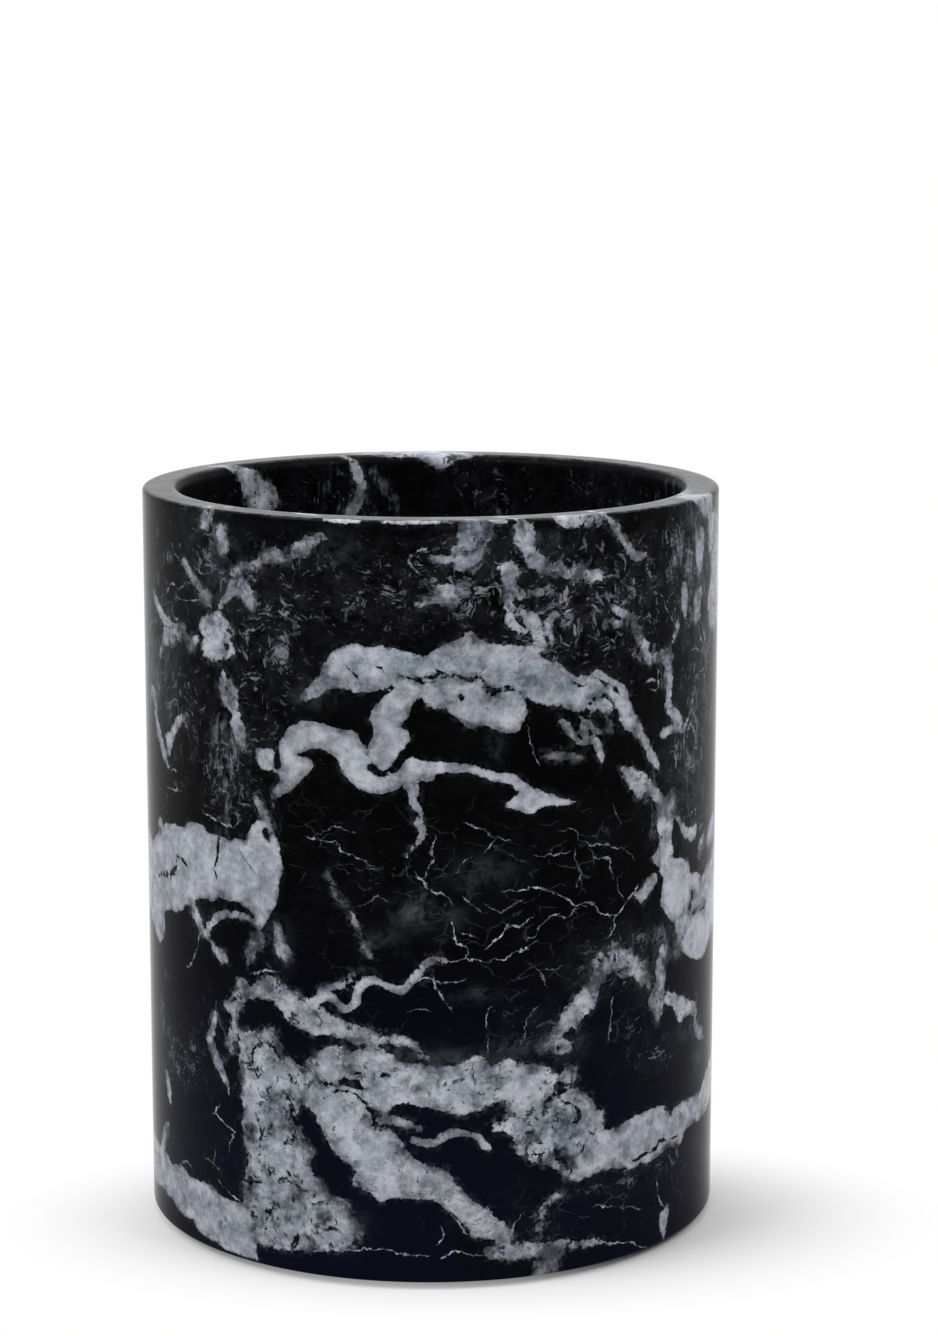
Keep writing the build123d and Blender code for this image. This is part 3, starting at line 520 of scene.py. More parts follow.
# Threads finer than a millimetre: tone, and (degrees, height, width) along each
THREADS = [
    (0.5, [(0.6, 60.6, 0.3), (0, 59.2, 0.4), (-0.5, 58.6, 0.5), (0.4, 58.2, 0.6), (-0.1, 57.2, 0.6),
           (-1.4, 55.6, 0.5)]),
    (0.4, [(-4.9, 56.6, 0.3), (-4.8, 55.6, 0.4), (-3.7, 54.9, 0.3)]),
    (0.5, [(-2.8, 55.8, 0.5), (-1.8, 54.8, 0.6), (-0.4, 53.8, 0.6), (0.8, 53, 0.6), (2, 53.2, 0.5),
           (3.9, 51.8, 0.4)]),
    (0.5, [(3.6, 49.8, 0.5), (4.2, 48, 0.5), (4.2, 46.8, 0.4), (5.6, 46.3, 0.5), (6.8, 45.7, 0.4),
           (6.3, 44.6, 0.3)]),
    (0.5, [(5.4, 47.9, 0.3), (7, 47.6, 0.5), (8.7, 46.8, 0.3)]),
    (0.6, [(2, 44.2, 0.7), (4.5, 44, 0.6), (6.3, 44.4, 0.5), (8, 44.4, 0.5), (9.6, 43.9, 0.3)]),
    (0.5, [(-3, 41.3, 0.5), (-1.2, 41.7, 0.4), (0.3, 41.8, 0.5), (1.2, 41.4, 0.4), (3.5, 41.3, 0.5),
           (6, 41.5, 0.3)]),
    (0.5, [(0.3, 41.8, 0.4), (1, 40.2, 0.4), (2.2, 38.8, 0.5), (3.6, 37.6, 0.3)]),
    (0.5, [(10.8, 43.6, 0.4), (11.8, 44.3, 0.5), (13.5, 44, 0.4), (15.5, 44.6, 0.5), (17.5, 45.2, 0.5),
           (19.7, 46, 0.3)]),
    (0.5, [(18.5, 46.6, 0.3), (20.2, 47, 0.4), (20.4, 48, 0.4), (21.8, 48.8, 0.5), (23, 49.2, 0.4),
           (24.6, 49.6, 0.3)]),
    (0.6, [(10.6, 46, 0.6), (11.8, 46.6, 0.5), (13, 47.4, 0.5), (14.8, 48.8, 0.5), (16.5, 48.4, 0.6),
           (19, 49.4, 0.5)]),
    (0.5, [(-24, 60, 0.3), (-21.5, 59.8, 0.4), (-19, 59.6, 0.4), (-17.6, 59.4, 0.4), (-17.2, 58.6, 0.4),
           (-15.3, 57.9, 0.4), (-12.5, 57.4, 0.3), (-10.4, 56.5, 0.3)]),
    (0.3, [(-22.5, 60.2, 0.3), (-20.5, 61, 0.3), (-18.5, 61.8, 0.3), (-16.5, 61.4, 0.3),
           (-14.6, 61, 0.2)]),
    (0.3, [(-14, 56.2, 0.2), (-9.4, 56.3, 0.3)]),
    (0.3, [(-14, 51.2, 0.2), (-11.5, 51.9, 0.3), (-10.2, 53, 0.4), (-8.4, 52.2, 0.2)]),
    (0.4, [(6.5, 62.6, 0.3), (9, 61.7, 0.4), (10.5, 61.3, 0.4), (11.3, 60.6, 0.4), (12.8, 60.5, 0.4),
           (14.7, 60.1, 0.3)]),
    (0.4, [(10.2, 58.6, 0.3), (11, 59.6, 0.4), (12.2, 60.4, 0.3)]),
    (0.3, [(4.8, 56.4, 0.3), (5.5, 57.3, 0.4), (7.2, 57.9, 0.2)]),
    (0.3, [(6.2, 52.6, 0.4), (7.5, 51.6, 0.3), (9, 50.8, 0.2)]),
    (0.4, [(9.9, 51.5, 0.3), (11.5, 51, 0.3), (13.2, 50.3, 0.4), (15, 51.2, 0.4), (17.2, 51.9, 0.3)]),
    (0.5, [(13.4, 53.4, 0.4), (16, 53.3, 0.5), (18.5, 53.4, 0.5), (20.5, 53.2, 0.6), (22.5, 52.6, 0.5),
           (25, 52, 0.5), (26.5, 51.4, 0.5), (27.5, 50.7, 0.5), (28.5, 50.4, 0.5), (30.5, 50.5, 0.7),
           (32.5, 50.2, 0.7), (33.2, 49.3, 0.6), (35.3, 48.4, 0.6), (37, 48.1, 0.7), (38.5, 48.4, 0.5),
           (40, 49.5, 0.5), (43, 51.3, 0.4)]),
    (0.5, [(24.8, 49.3, 0.3), (27, 49, 0.6), (28.3, 49.9, 0.5), (30, 50.1, 0.3)]),
    (0.4, [(20, 57.6, 0.2), (23, 57.6, 0.4), (26.6, 57.7, 0.2)]),
    (0.4, [(25, 60.7, 0.3), (27.5, 60.6, 0.3), (28.8, 59.8, 0.4), (28.8, 58.9, 0.4), (30.5, 58.8, 0.4),
           (31.5, 58, 0.5), (33, 58.2, 0.5), (35, 57.9, 0.5), (37, 57.4, 0.5), (39.4, 57.1, 0.3)]),
    (0.4, [(31.5, 57.5, 0.3), (32.5, 56.4, 0.4), (34.5, 56.4, 0.4), (36, 56, 0.5), (36.2, 54.6, 0.4),
           (36.9, 53.5, 0.2)]),
    (0.4, [(28, 57.8, 0.3), (28.2, 56.6, 0.4), (29.1, 55.4, 0.4), (29.2, 54.2, 0.4), (28.5, 53.2, 0.2)]),
    (0.5, [(38, 53, 0.3), (38.3, 51.5, 0.5), (39.5, 50.2, 0.4)]),
    (0.4, [(37.2, 48, 0.4), (37.5, 46.8, 0.4), (36, 45.6, 0.4), (34.4, 45.1, 0.3)]),
    (0.4, [(40, 57, 0.3), (42, 55.6, 0.4)]),
    (0.3, [(36.8, 63.2, 0.2), (38.6, 60.7, 0.3)]),
    (0.4, [(10.8, 37.4, 0.3), (10.2, 36.2, 0.4), (10.5, 34.2, 0.4), (10.6, 32, 0.3)]),
    (0.4, [(19.8, 36.9, 0.3), (18.2, 35.8, 0.4), (17.8, 34.4, 0.4), (17.5, 32.8, 0.3)]),
    (0.4, [(20.4, 42.4, 0.3), (21.2, 41.5, 0.4), (22, 40.2, 0.3)]),
    (0.3, [(21.8, 42.2, 0.2), (25, 42.1, 0.3)]),
    (0.4, [(-4.3, 37.3, 0.3), (-2.5, 37.8, 0.4), (-0.9, 37.5, 0.3)]),
    (0.5, [(37, 36.8, 0.3), (36.6, 35, 0.4), (36.4, 32.6, 0.4), (36.2, 31.2, 0.2)]),
    (0.8, [(-23, 3.4, 0.4), (-18.8, 4.1, 0.4), (-14.8, 4.2, 0.4), (-12.1, 4.5, 0.4), (-9.8, 4.6, 0.5),
           (-7.2, 4.3, 0.4), (-4.9, 4, 0.5), (-1.2, 3.9, 0.3)]),
    (0.7, [(1.9, 3.7, 0.3), (4, 4.4, 0.5), (5.8, 4.3, 0.4), (8.1, 3.8, 0.4), (10.4, 3.8, 0.6)]),
    (0.7, [(34, 3.2, 0.7), (36, 2.8, 0.6), (38.8, 2.3, 0.6), (41.2, 2.2, 0.4), (43, 1.6, 0.3),
           (47, 0.4, 0.2)]),
    (0.5, [(1.2, 5.4, 0.3), (2.1, 6.8, 0.5), (1.4, 7.8, 0.3)]),
    (0.5, [(3.3, 9.8, 0.4), (5.2, 8, 0.6), (6.9, 6.7, 0.4)]),
    (0.5, [(15.1, 5.6, 0.5), (15.8, 7.8, 0.5), (17.2, 8.7, 0.3)]),
    (0.45, [(33, 8.5, 0.3), (36, 7.9, 0.5), (39, 7.4, 0.5), (42, 6.9, 0.4), (45.4, 6, 0.7)]),
    (0.5, [(49.8, 9.5, 0.4), (50.2, 8, 0.5), (50.8, 6.6, 0.5), (52.2, 5.2, 0.6)]),
    (0.45, [(-47.3, 19.9, 0.5), (-45.8, 20.9, 0.3)]),
    (0.5, [(-47.2, 19.9, 0.5), (-44.6, 18.7, 0.5), (-41.4, 17.8, 0.4), (-42.2, 17.2, 0.4),
           (-43.4, 14.7, 0.3)]),
    (0.35, [(-50.3, 12.6, 0.3), (-47.8, 12.3, 0.5), (-46.2, 11.6, 0.4)]),
    (0.35, [(-47.5, 14.2, 0.4), (-47.8, 12.3, 0.4)]),
    (0.6, [(-60.3, 10, 0.5), (-57.2, 10.8, 0.5), (-55.2, 10.3, 0.3)]),
    (0.6, [(-46.2, 9.9, 0.5), (-42.4, 8.6, 0.6), (-40, 8, 0.5)]),
    (0.5, [(-51.6, 43.8, 0.5), (-52.2, 42.4, 0.5), (-53, 41, 0.6), (-54.5, 39.4, 0.6),
           (-55.8, 38.7, 0.4)]),
    (0.4, [(-37, 40.2, 0.4), (-34.3, 41, 0.6), (-30.6, 41.2, 0.4)]),
    (0.5, [(-49.2, 61, 0.4), (-46.5, 60.5, 0.5), (-44, 60, 0.5), (-41, 60, 0.5), (-39.4, 60.9, 0.3)]),
    (0.3, [(-65, 88.6, 0.5), (-62.6, 89.6, 0.7), (-61.4, 90.6, 0.6), (-60, 90.9, 0.6), (-57.6, 90.5, 0.6),
           (-56, 91, 0.6), (-55, 91.5, 0.5), (-53, 91.8, 0.4)]),
    (0.22, [(-64, 87.7, 0.4), (-62, 88.1, 0.6), (-60.3, 88.5, 0.4)]),
    (0.24, [(-58.5, 89.2, 0.4), (-55, 89.1, 0.5), (-52, 89.4, 0.5), (-50, 89.6, 0.3)]),
    (0.26, [(-60, 86.9, 0.5), (-58.8, 86.3, 0.7), (-57.5, 86.7, 0.5)]),
    (0.24, [(-59.8, 96.2, 0.6), (-58.4, 95.2, 0.7), (-56.6, 94.6, 0.5)]),
    (0.34, [(-51, 94, 0.6), (-49, 93.3, 0.9), (-46.5, 93.4, 0.5)]),
    (0.35, [(-62, 65.2, 0.5), (-59.8, 65.4, 0.6)]),
    (0.4, [(-63, 62.7, 0.4), (-58.2, 62.9, 0.5)]),
    (0.45, [(-1.1, 98.5, 0.5), (-2.6, 98, 0.7), (-4, 97.2, 0.8), (-3.3, 96, 0.8), (-1.5, 95, 0.5)]),
    (0.4, [(0, 97.2, 0.5), (2, 97, 0.6), (4.6, 96.8, 0.5)]),
    (0.45, [(4.5, 96.4, 0.7), (6.5, 96.6, 0.8), (8.5, 97.8, 0.8), (10.6, 99.4, 0.6)]),
    (0.45, [(24.8, 89.3, 0.5), (26, 89.4, 0.6), (27.6, 90, 0.4)]),
    (0.45, [(44.8, 94.6, 0.6), (46.4, 92.8, 0.4)]),
    (0.4, [(50, 89.8, 0.6), (51.6, 88, 0.6), (53.6, 86.4, 0.5)]),
    (0.5, [(57.4, 70.8, 0.5), (59.4, 72.2, 0.9), (61.6, 73.6, 0.5)]),
    (0.5, [(58.2, 69, 0.5), (58.4, 70.6, 0.8), (58.7, 72.2, 0.5)]),
    (0.45, [(59.4, 69.4, 0.5), (60.2, 71, 0.8), (62, 72.4, 0.5)]),
    (0.45, [(62, 71.4, 0.5), (63.2, 70, 0.8), (64.4, 68.6, 0.5)]),
    (0.45, [(57.4, 69.4, 0.4), (57, 68.2, 0.8), (56.6, 67, 0.4)]),
    (0.45, [(54.8, 70, 0.4), (54.8, 68.4, 0.8), (55.2, 67, 0.4)]),
    (0.4, [(61.6, 74.2, 0.5), (62, 75.2, 1.2), (62.5, 76.2, 0.5)]),
    (0.45, [(66, 85.4, 0.6), (67.6, 83.6, 1), (69.4, 81.6, 0.6)]),
    (0.4, [(64.2, 84.6, 0.5), (66, 82.8, 0.8), (67.6, 80.8, 0.5)]),
    (0.45, [(45, 78.9, 0.5), (46.2, 79.2, 1), (47.6, 79, 0.5)]),
    (0.4, [(48.4, 80.7, 0.5), (48.8, 79.5, 0.8), (49, 78.2, 0.4)]),
    (0.4, [(49.6, 80.6, 0.4), (49.9, 79.4, 0.7), (50.2, 78, 0.4)]),
    (0.4, [(46.6, 77.9, 0.4), (48, 77.7, 0.7), (49.2, 77.9, 0.4)]),
    (0.4, [(61, 58.9, 0.4), (63, 59.2, 0.5), (65.2, 59.5, 0.3)]),
    (0.4, [(60.2, 81.4, 0.4), (63, 81.8, 0.7), (65.6, 81, 0.4)]),
    (0.5, [(18.4, 74.8, 0.4), (18.6, 73.2, 0.5), (19.4, 71.4, 0.4), (20.6, 69.9, 0.3)]),
    (0.5, [(108, 62, 0.4), (113, 58, 0.6), (111, 53, 0.5), (117, 49, 0.5), (115, 44, 0.3)]),
    (0.5, [(139, 70, 0.4), (144, 66, 0.6), (142, 62, 0.5), (149, 59, 0.4)]),
    (0.5, [(160, 40, 0.4), (166, 37, 0.5), (172, 40, 0.6), (179, 38, 0.5), (185, 41, 0.4)]),
    (0.5, [(172, 40, 0.4), (170, 33, 0.5), (175, 28, 0.5), (173, 22, 0.3)]),
    (0.5, [(190, 30, 0.4), (196, 26, 0.6), (193, 20, 0.5), (199, 15, 0.5), (197, 8, 0.3)]),
    (0.5, [(222, 52, 0.4), (228, 48, 0.6), (235, 49, 0.5), (241, 45, 0.5), (248, 44, 0.3)]),
    (0.5, [(235, 49, 0.4), (233, 42, 0.5), (237, 37, 0.4)]),
    (0.5, [(100, 12, 0.4), (106, 15, 0.6), (113, 13, 0.5), (118, 16, 0.3)]),
    (0.5, [(205, 8, 0.5), (213, 6, 0.6), (222, 8, 0.5), (230, 5, 0.4), (240, 6, 0.3)]),
    (0.5, [(98, 74, 0.4), (104, 71, 0.6), (103, 66, 0.4)]),
]

# Where short flecks crowd the black: degrees, height, reach round and up (mm), density
FLECK_FIELDS = [
    (-52, 97, 10, 6, 0.5), (-30, 91, 10, 8, 0.65), (-12, 93, 14, 7, 0.6), (8, 95, 10, 7, 0.9),
    (27, 90, 10, 9, 1), (42, 90, 8, 9, 0.95), (57, 92, 9, 10, 0.8), (68, 78, 8, 9, 0.7),
    (-68, 84, 9, 8, 0.6), (-56, 76, 9, 7, 0.6), (-32, 85, 6, 8, 0.85), (-52, 77, 5, 4, 0.6),
    (-47, 96, 4, 5, 0.7), (-33, 74, 4, 5, 0.6), (-30, 92, 5, 4, 0.6), (-43, 67, 6, 7, 0.85),
    (-36, 82, 5, 6, 0.7), (-62, 63, 7, 5, 0.4), (60, 68, 7, 9, 0.75), (36, 80, 5, 8, 0.5),
    (40, 42, 9, 5, 0.8), (46, 33, 7, 7, 0.35), (22, 34, 8, 4, 0.5), (-58, 25, 7, 4, 0.7),
    (-20, 71, 6, 4, 0.2), (12, 56, 9, 6, 0.2), (32, 57, 7, 6, 0.2), (0, 51, 6, 5, 0.3),
    (-17, 55, 8, 8, 0.2), (37, 11.5, 8, 2.5, 0.6), (22, 8, 5, 4, 0.4), (57, 11.5, 7, 2, 0.5),
    (50, 27, 5, 3, 0.6), (-48, 13, 8, 5, 0.25), (66, 54, 6, 5, 0.6), (100, 80, 12, 14, 0.7),
    (140, 90, 16, 10, 0.8), (170, 90, 14, 10, 0.8), (215, 88, 16, 12, 0.8), (250, 88, 14, 12, 0.7),
    (235, 60, 12, 8, 0.5), (108, 48, 12, 10, 0.4), (190, 30, 14, 12, 0.4), (150, 28, 12, 6, 0.5),
    (265, 28, 12, 10, 0.4),
]

# Where upright grey streaks cross the black: degrees, height, reach round and up (mm), strength
STREAK_FIELDS = [
    (62, 92, 6, 11, 0.9), (67, 76, 6, 15, 0.85), (56, 97, 5, 6, 0.6), (57, 66, 6, 6, 0.6),
    (48, 62, 3, 5, 0.6), (66, 60, 6, 6, 0.5), (70, 50, 5, 6, 0.7), (50, 42, 5, 5, 0.6),
    (48, 80, 3, 4, 0.6), (66, 30, 4, 5, 0.5), (-46, 96, 5, 6, 0.6), (-44, 92, 4, 8, 0.6),
    (-62, 92, 7, 8, 0.5), (-66, 76, 7, 10, 0.6), (-42, 68, 4, 9, 0.8), (-57, 70, 6, 6, 0.5),
    (-33, 64, 3, 5, 0.6), (-68, 30, 4, 12, 0.5), (-46, 31, 4, 7, 0.5), (-32, 43, 3, 4, 0.6),
    (110, 85, 9, 14, 0.7), (205, 85, 9, 14, 0.7), (250, 60, 8, 16, 0.6), (130, 50, 7, 14, 0.5),
    (170, 30, 8, 12, 0.5),
]

# Where thin grey calcite clouds the black: degrees, height, reach round and up (mm), strength
HAZE_FIELDS = [
    (5, 30.6, 8, 1.5, 0.5), (-7, 31.4, 6, 1.3, 0.45), (-3.2, 50.6, 2.6, 1.8, 0.75),
    (2.6, 50, 2, 1.4, 0.55), (-9, 46.6, 2.4, 2, 0.35), (11.6, 72.6, 1.2, 2, 0.35), (8, 99, 2.6, 1.8, 0.8),
    (10, 56, 4, 2, 0.3), (7, 53.6, 1.2, 1, 0.55), (36, 41.6, 5, 2.4, 0.55), (45, 43, 5, 2.4, 0.45),
    (57, 43, 4, 3, 0.7), (47, 38.6, 3.6, 2.6, 0.45), (25, 31.6, 4, 2, 0.5), (-18, 98, 2.6, 2, 0.35),
    (22.6, 98.6, 3, 1.4, 0.4), (48, 92.4, 6, 1.6, 0.3), (-23, 79, 3.4, 1.6, 0.45), (-46, 95, 5, 7, 0.4),
    # The field at -69 degrees and 79 mm, by the left edge, is a painted reflection: the grey haze that
    # the polish shows there
    (-69, 79, 7, 8, 0.55), (-30.4, 45, 2, 3, 0.35), (17.6, 32, 5, 1.4, 0.45), (62, 66, 6, 10, 0.5),
    (66, 92, 7, 12, 0.6), (-52, 45.6, 2, 2.4, 0.35), (-68, 26, 3, 5, 0.25), (70, 56, 6, 4, 0.4),
    (67, 24, 2.4, 2, 0.5), (60, 29, 4, 1.6, 0.35), (-15.6, 7.4, 2, 2.6, 0.35), (8, 39.6, 3, 1, 0.3),
    (130, 60, 7, 6, 0.4), (190, 70, 6, 5, 0.4), (240, 55, 8, 5, 0.4), (150, 25, 7, 4, 0.4),
    (215, 45, 6, 5, 0.35),
]

# Where the calcite is clearer and bluish green: degrees, height, reach round and up (mm), strength
CLEAR_FIELDS = [
    (-4.5, 83.7, 3, 1.4, 1), (1, 84, 3, 1.2, 0.5), (8.5, 83, 2.4, 1, 0.4), (20, 80.2, 3, 2.6, 0.8),
    (26, 79.6, 3, 2, 0.6), (33, 78.6, 3, 1.6, 0.5), (-19, 80.8, 3, 1.2, 0.7), (-25, 79, 3, 1.6, 0.6),
    (7.6, 100, 3.6, 3, 0.7), (18.6, 97, 2, 2.4, 0.6), (26, 95, 5, 1.6, 0.6), (14, 93.6, 2, 2, 0.5),
    (-27, 97.6, 3, 1.2, 0.6), (12, 81.8, 4, 1, 0.3), (-46, 51, 5, 3, 0.2), (-10, 27.4, 4, 2, 0.4),
    (6, 27, 3, 2, 0.35), (-33, 22, 4, 4, 0.4), (27, 20, 4, 3, 0.5), (-20, 14, 4, 3, 0.35),
    (-60, 6, 5, 2, 0.35), (150, 47, 6, 4, 0.6), (190, 52, 5, 3, 0.5), (165, 77, 5, 3, 0.5),
    (230, 70, 5, 3, 0.5),
]

# Where a net of hairlines crosses the black: degrees, height, reach round and up (mm), strength
HAIR_FIELDS = [
    (32, 8, 14, 5, 0.8), (56, 8, 10, 4, 0.6), (-16, 58, 9, 6, 0.9), (8, 55, 12, 8, 1), (26, 56, 10, 8, 1),
    (16, 43, 14, 7, 0.8), (-8, 46, 10, 6, 0.6), (-20, 92, 14, 6, 0.5), (8, 37, 12, 4, 0.6),
    (40, 32, 8, 6, 0.6), (-50, 28, 10, 8, 0.5), (140, 60, 16, 12, 0.8), (200, 30, 20, 14, 0.8),
    (250, 40, 16, 14, 0.7),
]


class StoneSettings(PropertyGroup):
    """Sizes and finish of the turned stone."""

    rim_outer_round: FloatProperty(
        name="Outer Rim Round", description="Radius of the rim's outer edge",
        default=0.5 * MM, unit="LENGTH")
    rim_inner_round: FloatProperty(
        name="Inner Rim Round", description="Radius of the rim's inner edge",
        default=1.3 * MM, unit="LENGTH")
    base_round: FloatProperty(
        name="Base Round", description="Radius of the edge round the underside",
        default=0.5 * MM, unit="LENGTH")
    bore_corner_round: FloatProperty(
        name="Bore Corner Round", description="Radius of the corner at the bottom of the bore",
        default=3.0 * MM, unit="LENGTH")
    black: FloatVectorProperty(
        name="Black Ground", description="Colour of the black stone", subtype="COLOR", size=3,
        default=(0.0003, 0.0003, 0.0005))
    # Painted reflection: the bluish sheen that the polish shows near the base, put into the black's
    # colour
    reflected_blue_black: FloatVectorProperty(
        name="Bluish Black", description="Colour of the black stone towards the base",
        subtype="COLOR", size=3, default=(0.0021, 0.0024, 0.008))
    smoke: FloatVectorProperty(
        name="Smoke", description="Colour of the paler clouds in the black", subtype="COLOR", size=3,
        default=(0.002, 0.0021, 0.0026))
    fog: FloatVectorProperty(
        name="Fog", description="Colour of the fog round the shards", subtype="COLOR", size=3,
        default=(0.016, 0.0165, 0.019))
    haze: FloatVectorProperty(
        name="Haze", description="Colour of the thinnest calcite over black", subtype="COLOR", size=3,
        default=(0.066, 0.078, 0.086))
    calcite_dark: FloatVectorProperty(
        name="Dark Calcite", description="Colour of thin, clear calcite", subtype="COLOR", size=3,
        default=(0.055, 0.058, 0.066))
    calcite_grey: FloatVectorProperty(
        name="Grey Calcite", description="Colour of ordinary calcite", subtype="COLOR", size=3,
        default=(0.19, 0.203, 0.236))
    calcite_white: FloatVectorProperty(
        name="White Calcite", description="Colour of thick calcite", subtype="COLOR", size=3,
        default=(0.405, 0.42, 0.465))
    clear_tint: FloatVectorProperty(
        name="Clear Tint", description="Tint of the clearest calcite", subtype="COLOR", size=3,
        default=(0.8, 0.93, 0.97))
    polish: FloatProperty(
        name="Polish", description="Roughness of the polished outside",
        default=0.12, min=0.0, max=1.0, subtype="FACTOR")
    honed: FloatProperty(
        name="Honed", description="Roughness of the honed bore and underside",
        default=0.42, min=0.0, max=1.0, subtype="FACTOR")
    refractive_index: FloatProperty(
        name="Refractive Index",
        description="How strongly the polish shows the room, low to keep the black deep",
        default=1.08, min=1.0)


class FootSettings(PropertyGroup):
    """Finish of the feet and of the film that holds them."""

    rubber: FloatVectorProperty(
        name="Rubber", description="Colour of the moulded rubber", subtype="COLOR", size=3,
        default=(0.018, 0.018, 0.019))
    film: FloatVectorProperty(
        name="Adhesive Film", description="Colour of the milky adhesive film", subtype="COLOR", size=3,
        default=(0.55, 0.54, 0.5))


class StageSettings(PropertyGroup):
    """Camera, floor and lamps."""

    camera_distance: FloatProperty(
        name="Camera Distance", description="How far in front of the cup's axis the camera stands",
        default=465.0 * MM, unit="LENGTH")
    camera_height: FloatProperty(
        name="Camera Height", description="Height of the camera above the desk",
        default=159.85 * MM, unit="LENGTH")
    camera_tilt: FloatProperty(
        name="Camera Tilt", description="How far the camera looks down",
        default=math.radians(10.12), subtype="ANGLE")
    camera_turn: FloatProperty(
        name="Camera Turn", description="How far the camera is turned to the right",
        default=math.radians(0.653), subtype="ANGLE")
    camera_lens: FloatProperty(
        name="Lens", description="Focal length on a frame 36 mm tall", default=90.6, unit="CAMERA")
    floor: FloatVectorProperty(
        name="Floor", description="Colour of the floor and backdrop", subtype="COLOR", size=3,
        default=(0.53, 0.53, 0.53))
    lamp_powers: FloatVectorProperty(
        name="Lamps", description="Power of the left, right, front and top lamps", size=4,
        default=(12.0, 10.5, 4.5, 9.0), unit="POWER")
    room_light: FloatProperty(
        name="Room Light", description="Strength of the light from all around",
        default=0.08, min=0.0, max=1.0, subtype="FACTOR")


def smooth_curve(points, closed, steps=4):
    """The points with a Catmull-Rom curve run through them, as an array with a row for each point."""
    points = np.array(points, dtype=float)
    count = len(points)
    if closed:
        before, after, beyond = (np.roll(points, shift, axis=0) for shift in (1, -1, -2))
        spans = range(count)
    else:
        before = np.vstack([points[:1], points[:-1]])
        after = np.vstack([points[1:], points[-1:]])
        beyond = np.vstack([after[1:], points[-1:]])
        spans = range(count - 1)
    curve = []
    for i in spans:
        for t in np.arange(steps) / steps:
            curve.append(0.5 * (
                2 * points[i] + (after[i] - before[i]) * t
                + (2 * before[i] - 5 * points[i] + 4 * after[i] - beyond[i]) * t ** 2
                + (3 * points[i] - before[i] - 3 * after[i] + beyond[i]) * t ** 3))
    if not closed:
        curve.append(points[-1])
    return np.array(curve)


class UnrolledWall:
    """Every vertex of the stone laid out on the unrolled wall, with what is painted there."""

    # The distance, in mm, that is given where no vein is near, and what stands for 0 in a division
    FAR = 6.0
    TINY = 1e-9
    radius_mm = CUP_RADIUS / MM

    def __init__(self, degrees, height):
        self.degrees = degrees
        self.height = height

    def turned_from(self, degrees):
        """Degrees of each vertex on from these, the shorter way round."""
        return (self.degrees - degrees + 180) % 360 - 180

    def near(self, curve, margin):
        """Vertices in a curve's box widened by margin, and their places and the curve unrolled, in mm."""
        middle = (curve[:, 0].min() + curve[:, 0].max()) / 2
        place = np.stack([np.radians(self.turned_from(middle)) * self.radius_mm, self.height], axis=1)
        curve = curve.copy()
        curve[:, 0] = np.radians(curve[:, 0] - middle) * self.radius_mm
        low = curve[:, :2].min(axis=0) - margin
        high = curve[:, :2].max(axis=0) + margin
        found = np.flatnonzero(((place > low) & (place < high)).all(axis=1))
        return found, place[found], curve

    @classmethod
    def nearest(cls, place, start, end):
        """For each place: the nearest span of a curve, how far along it, the distance, and its side."""
        span = end - start
        length = np.maximum((span ** 2).sum(axis=1), cls.TINY)
        offset = place[:, None, :] - start[None, :, :]
        along = np.clip((offset * span).sum(axis=2) / length, 0, 1)
        gap = offset - along[..., None] * span
        distance = np.sqrt((gap ** 2).sum(axis=2))
        best = distance.argmin(axis=1)
        row = np.arange(len(place))
        side = np.sign(span[best, 0] * offset[row, best, 1] - span[best, 1] * offset[row, best, 0])
        return best, along[row, best], distance[row, best], side

    def outline_depth(self, outline, margin=3.0):
        """Depth inside a closed outline, in mm, negative outside it."""
        found, place, curve = self.near(smooth_curve(outline, closed=True), margin)
        start, end = curve, np.roll(curve, -1, axis=0)
        _, _, distance, _ = self.nearest(place, start, end)
        x, y = place[:, :1], place[:, 1:]
        spans = (start[:, 1] > y) != (end[:, 1] > y)
        rise = np.where(end[:, 1] == start[:, 1], self.TINY, end[:, 1] - start[:, 1])
        crossing = start[:, 0] + (y - start[:, 1]) * (end[:, 0] - start[:, 0]) / rise
        inside = (spans & (x < crossing)).sum(axis=1) % 2 == 1
        return found, np.where(inside, distance, -distance)

    def stroke(self, stroke, margin=3.0):
        """Half width, distance and side of the nearest place of an open stroke, and if it is an end."""
        found, place, curve = self.near(smooth_curve(stroke, closed=False), margin)
        start, end = curve[:-1], curve[1:]
        best, along, distance, side = self.nearest(place, start[:, :2], end[:, :2])
        half_width = (start[best, 2] + along * (end[best, 2] - start[best, 2])) / 2
        past = ((best == 0) & (along == 0)) | ((best == len(start) - 1) & (along == 1))
        return found, half_width, distance, side, past

    def soft_fields(self, fields):
        """The strongest of a list of soft round fields at each vertex."""
        value = np.zeros(len(self.degrees))
        for degrees, height, reach_round, reach_up, strength in fields:
            across = np.radians(self.turned_from(degrees)) * self.radius_mm / reach_round
            up = (self.height - height) / reach_up
            value = np.maximum(value, strength * np.exp(-(across ** 2 + up ** 2)))
        return value


# Tone and mottling of the calcite where no vein is near
PLAIN_TONE = 0.6
PLAIN_MOTTLE = 0.5


def paint_calcite(wall):
    """Depth, tone and mottling of the broad calcite, and of the painted highlight along the rim, at each
    vertex.
    """
    depth = np.full(len(wall.degrees), -wall.FAR)
    tone = np.full(len(wall.degrees), PLAIN_TONE)
    mottle = np.full(len(wall.degrees), PLAIN_MOTTLE)
    layers = [(tone_here, mottle_here, *wall.outline_depth(outline))
              for _, tone_here, mottle_here, outline in MASSES]
    for _, tone_here, mottle_here, stroke in BANDS:
        found, half_width, distance, _, _ = wall.stroke(stroke)
        layers.append((tone_here, mottle_here, found, half_width - distance))
    for tone_here, mottle_here, found, depth_here in layers:
        deeper = depth_here > depth[found]
        depth[found[deeper]] = depth_here[deeper]
        tone[found[deeper]] = tone_here
        mottle[found[deeper]] = mottle_here
    for outline in HOLLOWS:
        found, hollow = wall.outline_depth(outline)
        depth[found] = np.minimum(depth[found], -hollow)
    return depth, tone, mottle


